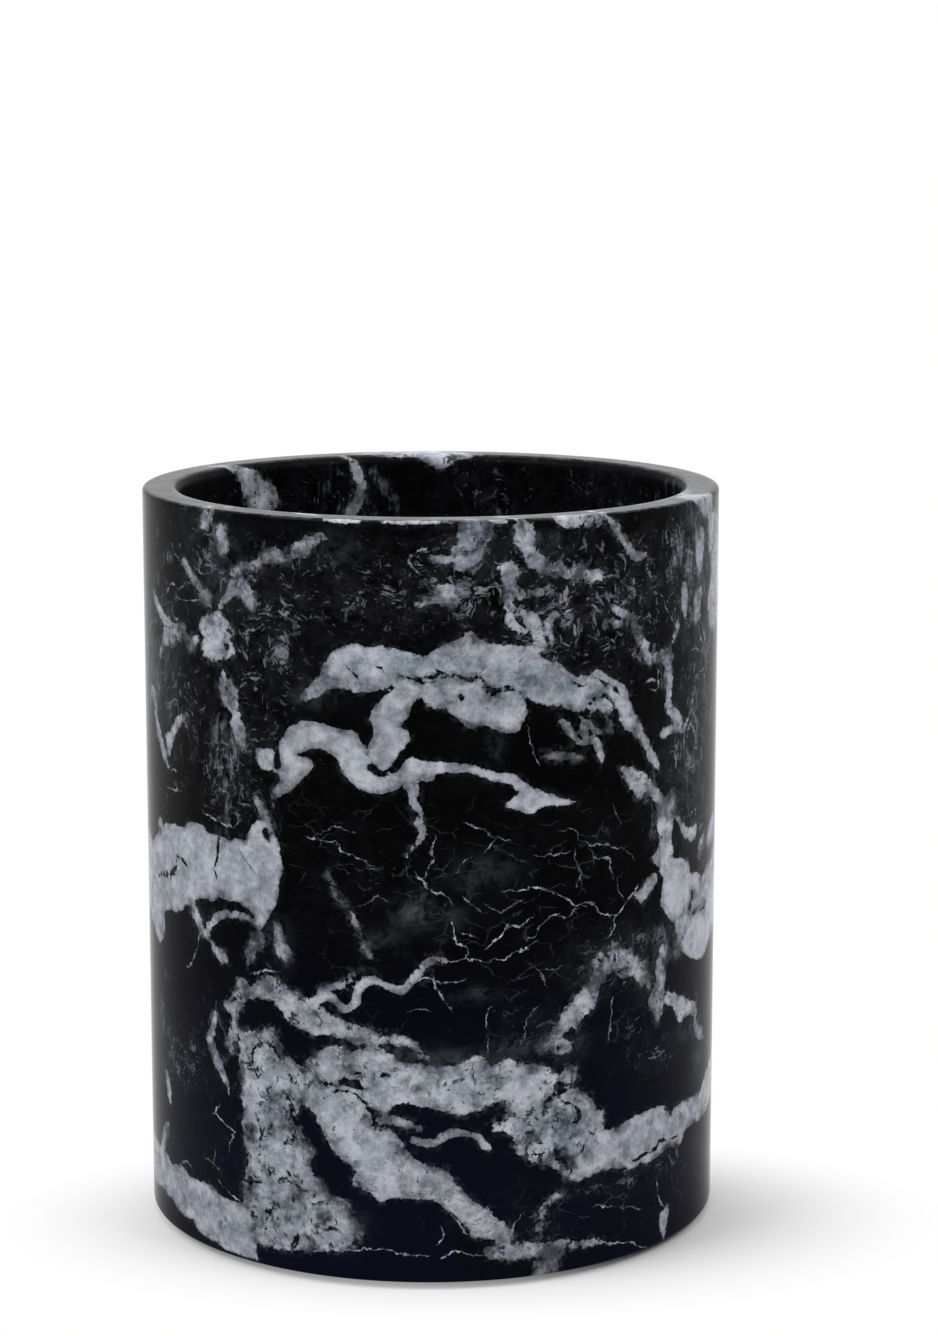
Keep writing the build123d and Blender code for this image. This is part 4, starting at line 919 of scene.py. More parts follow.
# How far from a stroke its tone still holds, beside it and past its ends, in millimetres
STROKE_REACH = 1.2
STROKE_END_REACH = 0.4


def paint_strokes(wall, strokes):
    """Signed distance, half width and tone of the nearest stroke at each vertex."""
    value = np.tile([wall.FAR, 0.0, 0.0], (len(wall.degrees), 1))
    for tone, stroke in strokes:
        found, half_width, distance, side, past = wall.stroke(stroke)
        nearer = distance < np.abs(value[found, 0])
        chosen = found[nearer]
        value[chosen, 0] = (distance * np.where(side < 0, -1, 1))[nearer]
        value[chosen, 1] = half_width[nearer]
        reach = np.where(past, STROKE_END_REACH, STROKE_REACH)
        value[chosen, 2] = np.where(distance < reach, tone, 0)[nearer]
    return value


def sort_into_layers(strokes, clearance=3.0):
    """Strokes shared out so that those in one layer stay clear of each other."""
    layers = []
    for stroke in strokes:
        curve = smooth_curve(stroke[1], closed=False)
        place = np.stack([np.radians(curve[:, 0]) * UnrolledWall.radius_mm, curve[:, 1]], axis=1)
        for layer in layers:
            gaps = [np.linalg.norm(place[:, None] - other[None], axis=2).min() for other, _ in layer]
            if min(gaps) > clearance:
                layer.append((place, stroke))
                break
        else:
            layers.append([(place, stroke)])
    return [[stroke for _, stroke in layer] for layer in layers]


THREAD_LAYERS = sort_into_layers(THREADS)
CRACK_LAYERS = sort_into_layers([(1.0, crack) for crack in CRACKS])


def arc(centre_r, centre_z, radius, start, end, steps=ROUND_STEPS):
    """Points of an arc of the profile, from start to end degrees, without its first point."""
    angles = [math.radians(start + (end - start) * i / steps) for i in range(1, steps + 1)]
    return [(centre_r + radius * math.cos(a), centre_z + radius * math.sin(a)) for a in angles]


def straight(start, end, step):
    """Points of a straight stretch of the profile, without its first point."""
    length = math.dist(start, end)
    count = max(1, round(length / step))
    return [(start[0] + (end[0] - start[0]) * i / count, start[1] + (end[1] - start[1]) * i / count)
            for i in range(1, count + 1)]


def turned_profile(stone):
    """Half section of the cup as (radius, height), from the underside's middle to the bore's."""
    corner, inner, outer, base = (
        stone.bore_corner_round, stone.rim_inner_round, stone.rim_outer_round, stone.base_round)
    floor_z = BORE_WALL_Z - corner
    profile = [(0.0, BASE_Z)]
    profile += straight(profile[-1], (CUP_RADIUS - base, BASE_Z), FLAT_STEP)
    profile += arc(CUP_RADIUS - base, BASE_Z + base, base, -90, 0)
    profile += straight(profile[-1], (CUP_RADIUS, RIM_Z - outer), WALL_STEP)
    profile += arc(CUP_RADIUS - outer, RIM_Z - outer, outer, 0, 90)
    profile += straight(profile[-1], (BORE_RADIUS + inner, RIM_Z), RIM_STEP)
    profile += arc(BORE_RADIUS + inner, RIM_Z - inner, inner, 90, 180)
    profile += straight(profile[-1], (BORE_RADIUS, RIM_Z - BORE_SEEN), BORE_STEP)
    profile += straight(profile[-1], (BORE_RADIUS, BORE_WALL_Z), DEEP_STEP)
    profile += arc(BORE_RADIUS - corner, BORE_WALL_Z, corner, 0, -90)
    profile += straight(profile[-1], (0.0, floor_z), FLAT_STEP)
    return profile


def start_piece(name):
    """Deselects everything and starts a piece from a small plane that is in edit mode."""
    bpy.ops.object.select_all(action="DESELECT")
    bpy.ops.mesh.primitive_plane_add(size=MM, location=(0, 0, 0))
    piece = bpy.context.active_object
    piece.name = name
    piece.data.name = name
    bpy.ops.object.mode_set(mode="EDIT")
    return piece


def turn_on_lathe(name, profile, columns):
    """A closed solid of revolution from its half section, spun about Z."""
    piece = start_piece(name)
    bpy.ops.mesh.merge(type="CENTER")
    here = (0.0, 0.0)
    for point in profile:
        move = (point[0] - here[0], 0, point[1] - here[1])
        if here == (0.0, 0.0):
            bpy.ops.transform.translate(value=move)
        else:
            bpy.ops.mesh.extrude_region_move(TRANSFORM_OT_translate={"value": move})
        here = point
    bpy.ops.mesh.select_all(action="SELECT")
    bpy.ops.mesh.spin(steps=columns, angle=2 * math.pi, center=(0, 0, 0), axis=(0, 0, 1))
    bpy.ops.mesh.select_all(action="SELECT")
    bpy.ops.mesh.remove_doubles(threshold=WELD_REACH)
    bpy.ops.mesh.normals_make_consistent(inside=False)
    bpy.ops.object.mode_set(mode="OBJECT")
    bpy.ops.object.shade_smooth()
    return piece


def set_attribute(mesh, name, kind, values):
    """Writes one value for each vertex to a new attribute of the mesh."""
    attribute = mesh.attributes.new(name, kind, "POINT")
    field = "vector" if kind == "FLOAT_VECTOR" else "value"
    attribute.data.foreach_set(field, np.ascontiguousarray(values, dtype=np.float32).ravel())


# How far the veins drift, per millimetre of depth into the stone
DRIFT_DEGREES = 1.1
DRIFT_HEIGHT = -0.9
# The underside and the bottom of the bore show the unrolled veins laid flat, turned by these degrees
# and with this height of the wall at their middle
FLAT_TURN = 35.0
FLAT_HEIGHT = 52.0

# What tells the stone's faces apart, in millimetres
BORE_CORNER_REACH = 2.0
UNDERSIDE_RISE = 0.5
UNDERSIDE_INSET = 1.0
POLISH_INTO_BORE = 0.6
POLISH_ABOVE_BASE = 0.3
RIM_FACE_DEPTH = 0.2


def unroll_stone(mesh):
    """The unrolled wall of the stone's vertices, which are inside or below, and which on the rim."""
    place = np.empty(len(mesh.vertices) * 3)
    mesh.vertices.foreach_get("co", place)
    place = place.reshape(-1, 3) / MM
    radius = np.hypot(place[:, 0], place[:, 1])
    depth = np.clip(UnrolledWall.radius_mm - radius, 0, None)
    height = place[:, 2] - BASE_Z / MM
    degrees = np.degrees(np.arctan2(place[:, 0], -place[:, 1])) + DRIFT_DEGREES * depth
    height_drifted = height + DRIFT_HEIGHT * depth
    underneath = (height < UNDERSIDE_RISE) & (depth > UNDERSIDE_INSET)
    flat = (radius < BORE_RADIUS / MM - BORE_CORNER_REACH) | underneath
    turn = math.radians(FLAT_TURN)
    across = place[:, 0] * math.cos(turn) + place[:, 1] * math.sin(turn)
    up = place[:, 1] * math.cos(turn) - place[:, 0] * math.sin(turn)
    degrees = np.where(flat, np.degrees(across / UnrolledWall.radius_mm), degrees)
    height_drifted = np.where(flat, FLAT_HEIGHT + up, height_drifted)
    wall_thickness = UnrolledWall.radius_mm - BORE_RADIUS / MM
    inside = (depth > wall_thickness - POLISH_INTO_BORE) | (height < POLISH_ABOVE_BASE)
    on_rim = place[:, 2] > RIM_Z / MM - RIM_FACE_DEPTH
    return UnrolledWall(degrees, height_drifted), inside, on_rim


def paint_stone(mesh):
    """Paints every vein onto the stone's mesh, and with them a painted highlight along the rim and a
    painted reflection by the left edge.
    """
    wall, inside, on_rim = unroll_stone(mesh)
    depth, tone, mottle = paint_calcite(wall)
    painted = {
        "calcite": depth,
        "tone": tone,
        "mottle": mottle,
        "flecks": wall.soft_fields(FLECK_FIELDS),
        "streaks": wall.soft_fields(STREAK_FIELDS),
        "haze": wall.soft_fields(HAZE_FIELDS),
        "clear": wall.soft_fields(CLEAR_FIELDS),
        "hairs": wall.soft_fields(HAIR_FIELDS),
        "honed": inside.astype(float),
        "rim": on_rim.astype(float),
    }
    for name, values in painted.items():
        set_attribute(mesh, name, "FLOAT", values)
    for kind, layers in (("threads", THREAD_LAYERS), ("cracks", CRACK_LAYERS)):
        for index, layer in enumerate(layers):
            set_attribute(mesh, f"{kind}_{index}", "FLOAT_VECTOR", paint_strokes(wall, layer))


class NodeMaker:
    """Adds nodes to a material's tree and links them, so that a finish reads as a list of steps."""

    def __init__(self, name):
        self.material = bpy.data.materials.new(name)
        self.material.use_nodes = True
        self.tree = self.material.node_tree
        self.shader = self.tree.nodes["Principled BSDF"]
        self.place = self.add("ShaderNodeTexCoord").outputs["Object"]

    def add(self, kind, **settings):
        node = self.tree.nodes.new(kind)
        for key, value in settings.items():
            setattr(node, key, value)
        return node

    def feed(self, socket, value):
        """Links a socket to another's output, or sets its value."""
        if isinstance(value, bpy.types.NodeSocket):
            self.tree.links.new(value, socket)
        else:
            socket.default_value = value

    def math(self, operation, first, second=0.0, clamp=False):
        node = self.add("ShaderNodeMath", operation=operation, use_clamp=clamp)
        self.feed(node.inputs[0], first)
        self.feed(node.inputs[1], second)
        return node.outputs[0]

    def total(self, first, *others):
        for other in others:
            first = self.math("ADD", first, other)
        return first

    def product(self, first, *others):
        for other in others:
            first = self.math("MULTIPLY", first, other)
        return first

    def largest(self, first, *others):
        for other in others:
            first = self.math("MAXIMUM", first, other)
        return first

    def rest(self, value):
        """What is left of 1 after a value."""
        return self.math("SUBTRACT", 1.0, value, clamp=True)

    def step(self, value, low, high, to_low=0.0, to_high=1.0):
        """A smooth step of a value, from low to high."""
        node = self.add("ShaderNodeMapRange", interpolation_type="SMOOTHSTEP")
        for socket, number in zip(node.inputs, (value, low, high, to_low, to_high)):
            self.feed(socket, number)
        return node.outputs[0]

    def scaled(self, size, stretch=(1, 1, 1), shift=0.0, place=None):
        """The place on the piece in units of size millimetres, stretched along each axis."""
        mapping = self.add("ShaderNodeMapping")
        self.feed(mapping.inputs["Vector"], self.place if place is None else place)
        mapping.inputs["Scale"].default_value = [1 / (size * MM * part) for part in stretch]
        mapping.inputs["Location"].default_value = (shift, shift, shift)
        return mapping.outputs[0]

    def noise(self, size, detail=3.0, roughness=0.55, distortion=0.0, output="Fac", **mapping):
        """Cloud noise whose features are about size millimetres across, from 0 to 1."""
        node = self.add("ShaderNodeTexNoise")
        self.feed(node.inputs["Vector"], self.scaled(size, **mapping))
        node.inputs["Scale"].default_value = 1.0
        node.inputs["Detail"].default_value = detail
        node.inputs["Roughness"].default_value = roughness
        node.inputs["Distortion"].default_value = distortion
        return node.outputs[output]

    def swing(self, size, amount, **settings):
        """Noise about zero, reaching about half of amount each way."""
        return self.product(self.total(self.noise(size, **settings), -0.5), amount)

    def crease(self, size, width, **settings):
        """Thin winding lines along the middle level of a noise."""
        level = self.math("ABSOLUTE", self.total(self.noise(size, **settings), -0.5))
        return self.step(level, width * 0.3, width, 1.0, 0.0)

    def warped(self, size, amount, **settings):
        """The place on the piece, pushed about by noise that reaches amount millimetres."""
        push = self.add("ShaderNodeVectorMath", operation="MULTIPLY_ADD")
        self.feed(push.inputs[0], self.noise(size, output="Color", **settings))
        push.inputs[1].default_value = [2 * amount * MM] * 3
        self.feed(push.inputs[2], self.place)
        return push.outputs[0]

    def cell_edges(self, size, width, **mapping):
        """A net of thin lines between irregular cells, size millimetres across."""
        node = self.add("ShaderNodeTexVoronoi", feature="DISTANCE_TO_EDGE")
        self.feed(node.inputs["Vector"], self.scaled(size, **mapping))
        node.inputs["Scale"].default_value = 1.0
        return self.step(node.outputs["Distance"], width * 0.3, width, 1.0, 0.0)

    def diamonds(self, spacing, **mapping):
        """Distance in diamond steps to the nearest of many points, and three chances for each point."""
        node = self.add("ShaderNodeTexVoronoi", feature="F1", distance="MANHATTAN")
        self.feed(node.inputs["Vector"], self.scaled(spacing, **mapping))
        node.inputs["Scale"].default_value = 1.0
        chances = self.add("ShaderNodeSeparateXYZ")
        self.feed(chances.inputs[0], node.outputs["Color"])
        return node.outputs["Distance"], chances.outputs

    def attribute(self, name, output="Fac"):
        return self.add("ShaderNodeAttribute", attribute_name=name).outputs[output]

    def mix(self, factor, first, second):
        """A colour between two others."""
        node = self.add("ShaderNodeMix", data_type="RGBA")
        self.feed(node.inputs["Factor"], factor)
        for key, value in (("A", first), ("B", second)):
            socket = next(s for s in node.inputs if s.name == key and s.type == "RGBA")
            self.feed(socket, value if isinstance(value, bpy.types.NodeSocket) else (*value, 1.0))
        return next(s for s in node.outputs if s.type == "RGBA")

    def strokes(self, layer, wander, swell, soft=0.06):
        """Coverage of the strokes painted in one layer, up to each one's tone."""
        parts = self.add("ShaderNodeSeparateXYZ")
        self.feed(parts.inputs[0], self.attribute(layer, "Vector"))
        across = self.math("ABSOLUTE", self.total(parts.outputs[0], wander))
        width = self.product(parts.outputs[1], swell)
        covered = self.step(self.math("SUBTRACT", across, width), -soft, soft, 1.0, 0.0)
        return self.product(covered, parts.outputs[2])

    def blend(self, factor, first, second):
        """One shader over another."""
        node = self.add("ShaderNodeMixShader")
        for socket, value in zip(node.inputs, (factor, first, second)):
            self.feed(socket, value)
        return node.outputs[0]

    def bump(self, height, strength, depth_mm):
        node = self.add("ShaderNodeBump")
        node.inputs["Strength"].default_value = strength
        node.inputs["Distance"].default_value = depth_mm * MM
        self.feed(node.inputs["Height"], height)
        self.feed(self.shader.inputs["Normal"], node.outputs[0])


def calcite_depth(make):
    """Depth inside the calcite, in mm, with its toothed edge, more ragged where it is mottled."""
    ragged = make.total(make.product(make.attribute("mottle"), 0.75), 0.3)
    fray = make.product(make.swing(1.6, 2.0, detail=4.0, roughness=0.6, distortion=0.5), ragged)
    teeth = make.product(
        make.swing(0.55, 0.85, detail=3.0, roughness=0.6, distortion=0.5, shift=7.0), ragged)
    return make.total(make.attribute("calcite"), fray, teeth, 0.1)


def flow_lines(make):
    """Thin lines that run along the edges of the calcite, inside and outside it, in broken stretches."""
    bend = make.swing(2.6, 2.6, detail=4.0, roughness=0.6, shift=61.0)
    bent = make.total(make.product(make.attribute("calcite"), 0.95), bend)
    level = make.math("ABSOLUTE", make.total(make.math("FRACT", bent), -0.5))
    stretches = make.step(make.noise(1.9, detail=3.0, shift=63.0), 0.53, 0.63)
    return make.product(make.step(level, 0.03, 0.1, 1.0, 0.0), stretches)


def edge_cracks(make):
    """Fine winding cracks, which run into the calcite as dark lines."""
    return make.product(
        make.crease(2.4, 0.035, detail=4.0, roughness=0.6, distortion=0.5, shift=67.0),
        make.step(make.noise(2.2, detail=3.0, shift=69.0), 0.5, 0.6))


def calcite_dark(make, depth, flow, cracks):
    """Dark seams, specks and smudges inside the calcite."""
    mottle = make.attribute("mottle")
    broken = make.step(mottle, 0.4, 0.95)
    seams = make.product(
        make.crease(3.4, 0.045, detail=4.0, roughness=0.6, distortion=0.6, shift=3.0),
        make.step(make.noise(2.6, shift=11.0), 0.5, 0.62), broken)
    specks = make.step(make.noise(1.2, detail=4.0, roughness=0.62, distortion=0.4, shift=5.0), 0.62, 0.67)
    smoke = make.noise(3.2, detail=5.0, roughness=0.62, distortion=0.4, shift=17.0)
    smudge = make.step(smoke, 0.5, 0.7, 0.0, 0.95)
    lines = make.product(flow, make.step(mottle, 0.2, 0.8, 0.1, 0.5))
    inward = make.product(
        cracks, make.step(depth, 0.2, 2.2, 0.7, 0.0), make.step(mottle, 0.1, 0.6, 0.3, 0.8))
    dark = make.largest(lines, inward, seams, make.product(make.largest(specks, smudge), mottle))
    jag = make.total(make.swing(1.1, 0.9, detail=4.0, shift=2.0), make.swing(0.4, 0.4, shift=19.0))
    swell = make.step(make.noise(1.0, detail=3.0, shift=18.0), 0.36, 0.66, 0.15, 1.9)
    for index in range(len(CRACK_LAYERS)):
        dark = make.largest(dark, make.strokes(f"cracks_{index}", jag, swell, soft=0.12))
    return dark


def calcite_white(make, depth):
    """How white the calcite is: whiter where it is thick, clouded, and fibrous across its veins."""
    mottle = make.attribute("mottle")
    cloud = make.product(
        make.swing(2.8, 2.5, detail=6.0, roughness=0.64), make.total(make.product(mottle, 0.6), 0.46))
    drift = make.swing(7.0, 0.8, detail=2.0, shift=37.0)
    patch = make.swing(1.0, 1.0, detail=5.0, roughness=0.65, stretch=(1.4, 1.4, 0.9), shift=9.0)
    fibre = make.swing(0.3, 0.4, detail=3.0, stretch=(1, 1, 2.0), shift=21.0)
    fade = make.step(make.noise(5.0, detail=3.0, shift=47.0), 0.42, 0.66, 0.3, 2.2)
    thick = make.step(depth, -0.1, fade, -0.42, 0.07)
    clear = make.product(make.attribute("clear"), -0.3)
    return make.total(make.attribute("tone"), cloud, drift, patch, fibre, thick, clear)


def calcite_colour(make, stone, white):
    """Dark where the calcite is thin, through grey to white, and bluish green where it is clear."""
    shade = make.mix(make.step(white, -0.1, 0.5), tuple(stone.calcite_dark), tuple(stone.calcite_grey))
    shade = make.mix(make.step(white, 0.3, 1.1), shade, tuple(stone.calcite_white))
    tinted = make.add("ShaderNodeMix", data_type="RGBA", blend_type="MULTIPLY")
    make.feed(tinted.inputs["Factor"], make.attribute("clear"))
    colours = [socket for socket in tinted.inputs if socket.type == "RGBA"]
    make.feed(colours[0], shade)
    make.feed(colours[1], (*stone.clear_tint, 1.0))
    return next(socket for socket in tinted.outputs if socket.type == "RGBA")


# Shards of calcite that crowd parts of the black: spacing (mm), stretch round and up, brightness
SHARDS = [
    (0.8, 2.2, 0.6, 0.45),
    (1.2, 0.6, 2.2, 0.6),
    (2.0, 2.8, 0.5, 0.85),
    (2.3, 0.5, 2.8, 0.95),
]


def shard_cover(make, field):
    """Short pointed shards, bent and scattered like crumpled foil, as dense as the field."""
    crumple = make.warped(4.5, 2.6, detail=3.0, roughness=0.5, shift=23.0)
    share = make.total(make.product(field, 1.05), make.swing(2.8, 2.6, detail=4.0, shift=35.0), -0.24)
    cover = None
    for index, (spacing, round_it, up, brightness) in enumerate(SHARDS):
        distance, chances = make.diamonds(
            spacing, stretch=(round_it, round_it, up), shift=6.0 + 9 * index, place=crumple)
        kept = make.step(make.math("SUBTRACT", share, chances[0]), -0.03, 0.03)
        radius = make.total(make.product(chances[1], 0.3), 0.16)
        shard = make.step(make.math("SUBTRACT", distance, radius), -0.06, 0.06, 1.0, 0.0)
        shard = make.product(shard, kept, make.step(chances[2], 0.0, 1.0, 0.35, 1.0), brightness)
        cover = shard if cover is None else make.largest(cover, shard)
    return make.product(cover, make.step(field, 0.05, 1.0, 0.1, 1.0), make.step(field, 0.02, 0.15))


def crumb_cover(make, field):
    """Small crumbs of calcite, clumped, as thick on the ground as the field."""
    flow = make.warped(6.0, 4.0, detail=3.0, roughness=0.5, shift=77.0)
    crumbs = make.noise(
        0.7, detail=6.0, roughness=0.7, distortion=0.4, stretch=(2.0, 2.0, 0.8), shift=71.0, place=flow)
    clumps = make.step(make.noise(2.8, detail=4.0, roughness=0.6, shift=73.0), 0.47, 0.62)
    share = make.step(make.total(crumbs, make.product(clumps, field, 0.12)), 0.56, 0.72)
    return make.product(share, clumps, make.step(field, 0.05, 0.7), 0.85)


def streak_cover(make):
    """Upright wisps of calcite, as thick on the ground as the painted field."""
    field = make.attribute("streaks")
    fibres = make.crease(
        2.2, 0.05, detail=4.0, roughness=0.6, distortion=0.8, stretch=(1, 1, 2.2), shift=51.0)
    patch = make.noise(2.6, detail=4.0, roughness=0.6, stretch=(1, 1, 1.7), shift=53.0)
    share = make.total(patch, make.product(field, 0.16))
    wash = make.step(share, 0.58, 0.85, 0.0, 0.3)
    cover = make.largest(wash, make.product(fibres, make.step(share, 0.56, 0.7)))
    return make.product(cover, make.step(field, 0.05, 0.6), 0.5)


# The black turns bluish towards the base, between these heights: a painted reflection, the bluish sheen
# that the polish shows low down
REFLECTION_BELOW = 12 * MM
REFLECTION_ABOVE = 58 * MM


def black_ground(make, stone):
    """Smoky black with thin calcite haze, hairlines, flecks and fine threads; a painted bluish reflection
    towards the base, and a grey rim that is partly painted sheen.
    """
    smoke = make.step(make.noise(9.0, detail=7.0, roughness=0.66, stretch=(1.6, 1.6, 0.8)), 0.45, 0.75)
    # Painted reflection: below these heights the black is mixed towards a bluish sheen
    height = make.add("ShaderNodeSeparateXYZ")
    make.feed(height.inputs[0], make.place)
    above = make.step(height.outputs["Z"], REFLECTION_BELOW, REFLECTION_ABOVE)
    black = make.mix(above, tuple(stone.reflected_blue_black), tuple(stone.black))
    ground = make.mix(smoke, black, tuple(stone.smoke))
    ragged = make.step(make.noise(2.4, detail=7.0, roughness=0.7, distortion=0.6, shift=4.0), 0.38, 0.68)
    ground = make.mix(make.product(make.attribute("haze"), ragged), ground, tuple(stone.haze))

    outside = make.step(make.attribute("honed"), 0.0, 1.0, 1.0, 0.45)
    field = make.product(make.attribute("flecks"), outside)
    fog = make.step(make.noise(2.4, detail=7.0, roughness=0.66, distortion=0.5, shift=45.0), 0.36, 0.74)
    ground = make.mix(make.product(fog, field), ground, tuple(stone.fog))
    ground = make.mix(crumb_cover(make, field), ground, tuple(stone.calcite_grey))

    # The rim's top face is mottled a paler grey: partly the stone's grain, partly a painted sheen for the
    # grey that the polish shows there at a glancing view
    grain = make.noise(2.6, detail=6.0, roughness=0.68, distortion=0.6, shift=75.0)
    rim_grain_and_sheen = make.step(grain, 0.42, 0.66, 0.0, 0.24)
    ground = make.mix(make.product(rim_grain_and_sheen, make.attribute("rim")), ground, tuple(stone.calcite_grey))

    pale = make.step(make.noise(1.3, detail=3.0, shift=1.0), 0.25, 0.55)
    tint = make.mix(pale, tuple(stone.calcite_dark), tuple(stone.calcite_grey))
    ground = make.mix(streak_cover(make), ground, tint)

    wisp = make.warped(2.0, 1.0, detail=4.0, roughness=0.6, shift=25.0)
    net = make.cell_edges(4.0, 0.025, stretch=(1.4, 1.4, 0.7), place=wisp)
    gaps = make.step(make.noise(3.2, detail=3.0, shift=27.0), 0.46, 0.6)
    net = make.product(net, gaps, make.attribute("hairs"))
    ground = make.mix(make.product(net, 0.6), ground, tuple(stone.calcite_dark))

    ground = make.mix(shard_cover(make, field), ground, tint)

    jag = make.total(
        make.swing(1.4, 1.2, detail=3.0, shift=12.0), make.swing(0.5, 0.6, detail=2.0, shift=13.0))
    swell = make.step(make.noise(0.9, detail=3.0, shift=14.0), 0.36, 0.68, 0.04, 0.62)
    whiter = make.step(make.noise(1.8, detail=2.0, shift=55.0), 0.4, 0.62)
    bright = make.mix(whiter, tuple(stone.calcite_grey), tuple(stone.calcite_white))
    for index in range(len(THREAD_LAYERS)):
        faint = make.step(make.noise(1.6, detail=3.0, shift=15.0 + index), 0.36, 0.6, 0.15, 1.0)
        cover = make.product(make.strokes(f"threads_{index}", jag, swell), faint, 1.9)
        ground = make.mix(cover, ground, bright)
    return ground


def marble(stone):
    """Polished black marble with masses of white calcite."""
    make = NodeMaker("polished_marble")
    depth = calcite_depth(make)
    white = calcite_white(make, depth)
    flow = flow_lines(make)
    cracks = edge_cracks(make)
    mass = make.product(
        make.step(depth, -0.06, 0.08), make.step(white, -0.6, -0.05),
        make.rest(calcite_dark(make, depth, flow, cracks)))
    near = make.product(make.step(depth, -0.9, 0.0, 0.0, 0.5), make.attribute("mottle"))
    fringe = make.product(near, make.step(make.noise(0.9, detail=3.0, shift=29.0), 0.45, 0.65))
    ground = make.mix(fringe, black_ground(make, stone), tuple(stone.haze))
    colour = make.mix(mass, ground, calcite_colour(make, stone, white))
    make.feed(make.shader.inputs["Base Color"], colour)

    honing = make.product(make.attribute("honed"), stone.honed - stone.polish)
    roughness = make.total(honing, make.product(mass, 0.04), stone.polish)
    make.feed(make.shader.inputs["Roughness"], roughness)
    make.shader.inputs["IOR"].default_value = stone.refractive_index
    relief = make.total(make.product(mass, 0.35), make.noise(5.0, detail=2.0, shift=16.0))
    make.bump(relief, strength=0.12, depth_mm=0.06)
    return make.material


def rubber(feet):
    """Matt moulded rubber with a fine grain."""
    make = NodeMaker("foot_rubber")
    grain = make.noise(0.25, detail=4.0, roughness=0.6)
    dusty = make.step(make.noise(3.0, detail=4.0, shift=2.0), 0.45, 0.75)
    paler = tuple(channel * 1.9 for channel in feet.rubber)
    colour = make.mix(make.product(dusty, grain), tuple(feet.rubber), paler)
    make.feed(make.shader.inputs["Base Color"], colour)
    make.feed(make.shader.inputs["Roughness"], make.step(grain, 0.2, 0.8, 0.62, 0.85))
    make.bump(grain, strength=0.5, depth_mm=0.04)
    return make.material


def film(feet):
    """Milky adhesive film with faint bubbles."""
    make = NodeMaker("adhesive_film")
    bubbles = make.step(make.noise(0.6, detail=3.0), 0.5, 0.7)
    darker = tuple(channel * 0.8 for channel in feet.film)
    make.feed(make.shader.inputs["Base Color"], make.mix(bubbles, tuple(feet.film), darker))
    make.feed(make.shader.inputs["Roughness"], make.step(bubbles, 0.0, 1.0, 0.3, 0.5))
    return make.material


class PENSTAND_OT_stone_cup(Operator):
    """Turn the stone cup, paint its veins and polish it"""

    bl_idname = "penstand.stone_cup"
    bl_label = "Turn Stone Cup"

    def execute(self, context):
        stone = context.scene.penstand_stone
        cup = turn_on_lathe("marble_cup", turned_profile(stone), COLUMNS)
        paint_stone(cup.data)
        cup.data.materials.append(marble(stone))
        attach(cup, "root")
        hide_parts("stone_cup")
        return {"FINISHED"}


class PENSTAND_OT_feet(Operator):
    """Finish the rubber feet and the adhesive film that holds them"""

    bl_idname = "penstand.feet"
    bl_label = "Finish Feet"

    def execute(self, context):
        feet = context.scene.penstand_feet
        finishes = {"rubber_foot": rubber(feet), "adhesive_disc": film(feet)}
        for kind, finish in finishes.items():
            for place in FOOT_PLACES:
                mesh = frame["nodes"][f"{kind}_{place}"].data
                mesh.materials.clear()
                mesh.materials.append(finish)
        return {"FINISHED"}


# The floor is a disc of paper, which shows in an oval about the cup. From FADE_START of the way out
# to the oval's edge it fades to plain white.
FLOOR_RADIUS = 3.0
FLOOR_SIDES = 96
PAPER_ROUGHNESS = 0.9
PAPER_SPECULAR = 0.1
FADE_CENTRE = (0.0056, -0.012, 0.0)
FADE_REACH = (0.07, 0.041, 1.0)
FADE_START = 0.4

# The kinds of ray that see white all round; others meet the dim room light and the floor's paper
WHITE_SEEN_BY = ["Is Camera Ray", "Is Glossy Ray", "Is Transmission Ray"]

# Square soft lamps, aimed at the cup: name, size, place
LAMP_TARGET = (0.0, 0.0, 0.05)
LAMPS = [
    ("left", 0.6, (-0.78, -0.42, 0.95)),
    ("right", 0.6, (0.78, -0.42, 0.95)),
    ("front", 0.8, (0.0, -0.85, 0.85)),
    ("top", 0.9, (-0.05, 0.3, 1.15)),
]

# The sensor's width, which lies along the longer side of the picture, in millimetres
SENSOR_WIDTH = 36.0


def seen_by(tree, kinds):
    """1 for these kinds of ray, else 0."""
    path = tree.nodes.new("ShaderNodeLightPath")
    total = None
    for kind in kinds:
        if total is None:
            total = path.outputs[kind]
            continue
        largest = tree.nodes.new("ShaderNodeMath")
        largest.operation = "MAXIMUM"
        tree.links.new(total, largest.inputs[0])
        tree.links.new(path.outputs[kind], largest.inputs[1])
        total = largest.outputs[0]
    return total


def floor_paper(stage):
    """Pale matt paper that fades to the white of the background."""
    make = NodeMaker("floor_paper")
    make.feed(make.shader.inputs["Base Color"], (*stage.floor, 1.0))
    make.shader.inputs["Roughness"].default_value = PAPER_ROUGHNESS
    make.shader.inputs["Specular IOR Level"].default_value = PAPER_SPECULAR
    offset = make.add("ShaderNodeVectorMath", operation="MULTIPLY_ADD")
    make.feed(offset.inputs[0], make.place)
    offset.inputs[1].default_value = [1 / reach for reach in FADE_REACH]
    offset.inputs[2].default_value = [-centre / reach for centre, reach in zip(FADE_CENTRE, FADE_REACH)]
    distance = make.add("ShaderNodeVectorMath", operation="LENGTH")
    make.feed(distance.inputs[0], offset.outputs[0])
    fade = make.step(distance.outputs["Value"], FADE_START, 1.0)
    white = make.add("ShaderNodeEmission")
    seen = make.product(fade, seen_by(make.tree, WHITE_SEEN_BY))
    surface = make.blend(seen, make.shader.outputs[0], white.outputs[0])
    make.feed(make.tree.nodes["Material Output"].inputs["Surface"], surface)
    return make.material


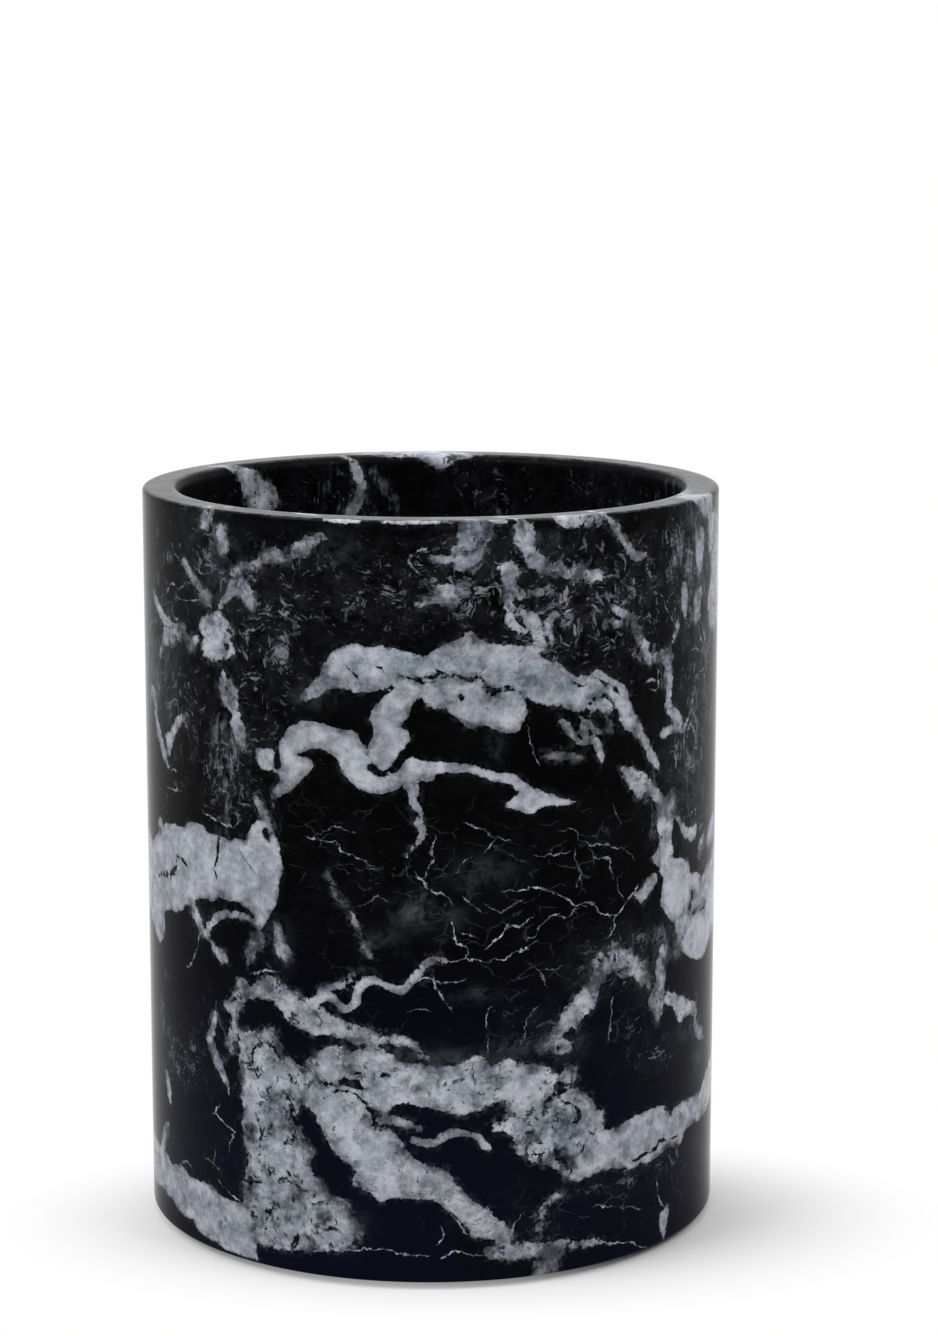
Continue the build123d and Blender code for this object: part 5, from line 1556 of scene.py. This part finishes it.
class PENSTAND_OT_stage(Operator):
    """Set the floor, the lamps, the white surroundings and the camera"""

    bl_idname = "penstand.stage"
    bl_label = "Set Stage"

    def execute(self, context):
        stage = context.scene.penstand_stage
        self.lay_floor(stage)
        for (name, size, place), power in zip(LAMPS, stage.lamp_powers):
            self.hang_lamp(name, size, power, place)
        self.surround_with_white(context.scene, stage)
        self.set_camera(context.scene, stage)
        context.scene.view_settings.view_transform = "Standard"
        return {"FINISHED"}

    def lay_floor(self, stage):
        bpy.ops.object.select_all(action="DESELECT")
        bpy.ops.mesh.primitive_circle_add(
            vertices=FLOOR_SIDES, radius=FLOOR_RADIUS, fill_type="NGON", location=(0, 0, 0))
        floor = bpy.context.active_object
        floor.name = "floor"
        floor.data.materials.append(floor_paper(stage))

    def hang_lamp(self, name, size, power, place):
        data = bpy.data.lights.new(name, "AREA")
        data.shape = "SQUARE"
        data.size = size
        data.energy = power
        lamp = bpy.data.objects.new(name, data)
        bpy.context.collection.objects.link(lamp)
        lamp.location = place
        aim = Vector(place) - Vector(LAMP_TARGET)
        lamp.rotation_euler = aim.to_track_quat("Z", "Y").to_euler()

    def surround_with_white(self, scene, stage):
        world = bpy.data.worlds.new("white_room")
        world.use_nodes = True
        scene.world = world
        tree = world.node_tree
        background = tree.nodes["Background"]
        background.inputs["Color"].default_value = (1.0, 1.0, 1.0, 1.0)
        strength = tree.nodes.new("ShaderNodeMapRange")
        tree.links.new(seen_by(tree, WHITE_SEEN_BY), strength.inputs["Value"])
        strength.inputs["To Min"].default_value = stage.room_light
        strength.inputs["To Max"].default_value = 1.0
        tree.links.new(strength.outputs[0], background.inputs["Strength"])

    def set_camera(self, scene, stage):
        data = bpy.data.cameras.new("photo_view")
        data.lens = stage.camera_lens
        data.sensor_width = SENSOR_WIDTH
        camera = bpy.data.objects.new("photo_view", data)
        bpy.context.collection.objects.link(camera)
        camera.location = (0.0, -stage.camera_distance, stage.camera_height)
        camera.rotation_euler = (math.pi / 2 - stage.camera_tilt, 0.0, -stage.camera_turn)
        scene.camera = camera


class PENSTAND_PT_panel(Panel):
    """The pen stand's settings and the steps that build it"""

    bl_idname = "PENSTAND_PT_panel"
    bl_label = "Pen Stand"
    bl_space_type = "VIEW_3D"
    bl_region_type = "UI"
    bl_category = "Pen Stand"

    def draw(self, context):
        scene = context.scene
        groups = [
            (scene.penstand_stone, PENSTAND_OT_stone_cup),
            (scene.penstand_feet, PENSTAND_OT_feet),
            (scene.penstand_stage, PENSTAND_OT_stage),
        ]
        for settings, operator in groups:
            box = self.layout.box()
            for name in settings.__annotations__:
                box.prop(settings, name)
            box.operator(operator.bl_idname)


CLASSES = [
    StoneSettings,
    FootSettings,
    StageSettings,
    PENSTAND_OT_stone_cup,
    PENSTAND_OT_feet,
    PENSTAND_OT_stage,
    PENSTAND_PT_panel,
]


def register():
    for item in CLASSES:
        bpy.utils.register_class(item)
    bpy.types.Scene.penstand_stone = PointerProperty(type=StoneSettings)
    bpy.types.Scene.penstand_feet = PointerProperty(type=FootSettings)
    bpy.types.Scene.penstand_stage = PointerProperty(type=StageSettings)


def unregister():
    del bpy.types.Scene.penstand_stage
    del bpy.types.Scene.penstand_feet
    del bpy.types.Scene.penstand_stone
    for item in reversed(CLASSES):
        bpy.utils.unregister_class(item)


def main():
    register()
    bpy.ops.penstand.stone_cup()
    bpy.ops.penstand.feet()
    bpy.ops.penstand.stage()


if __name__ == "__main__":
    main()
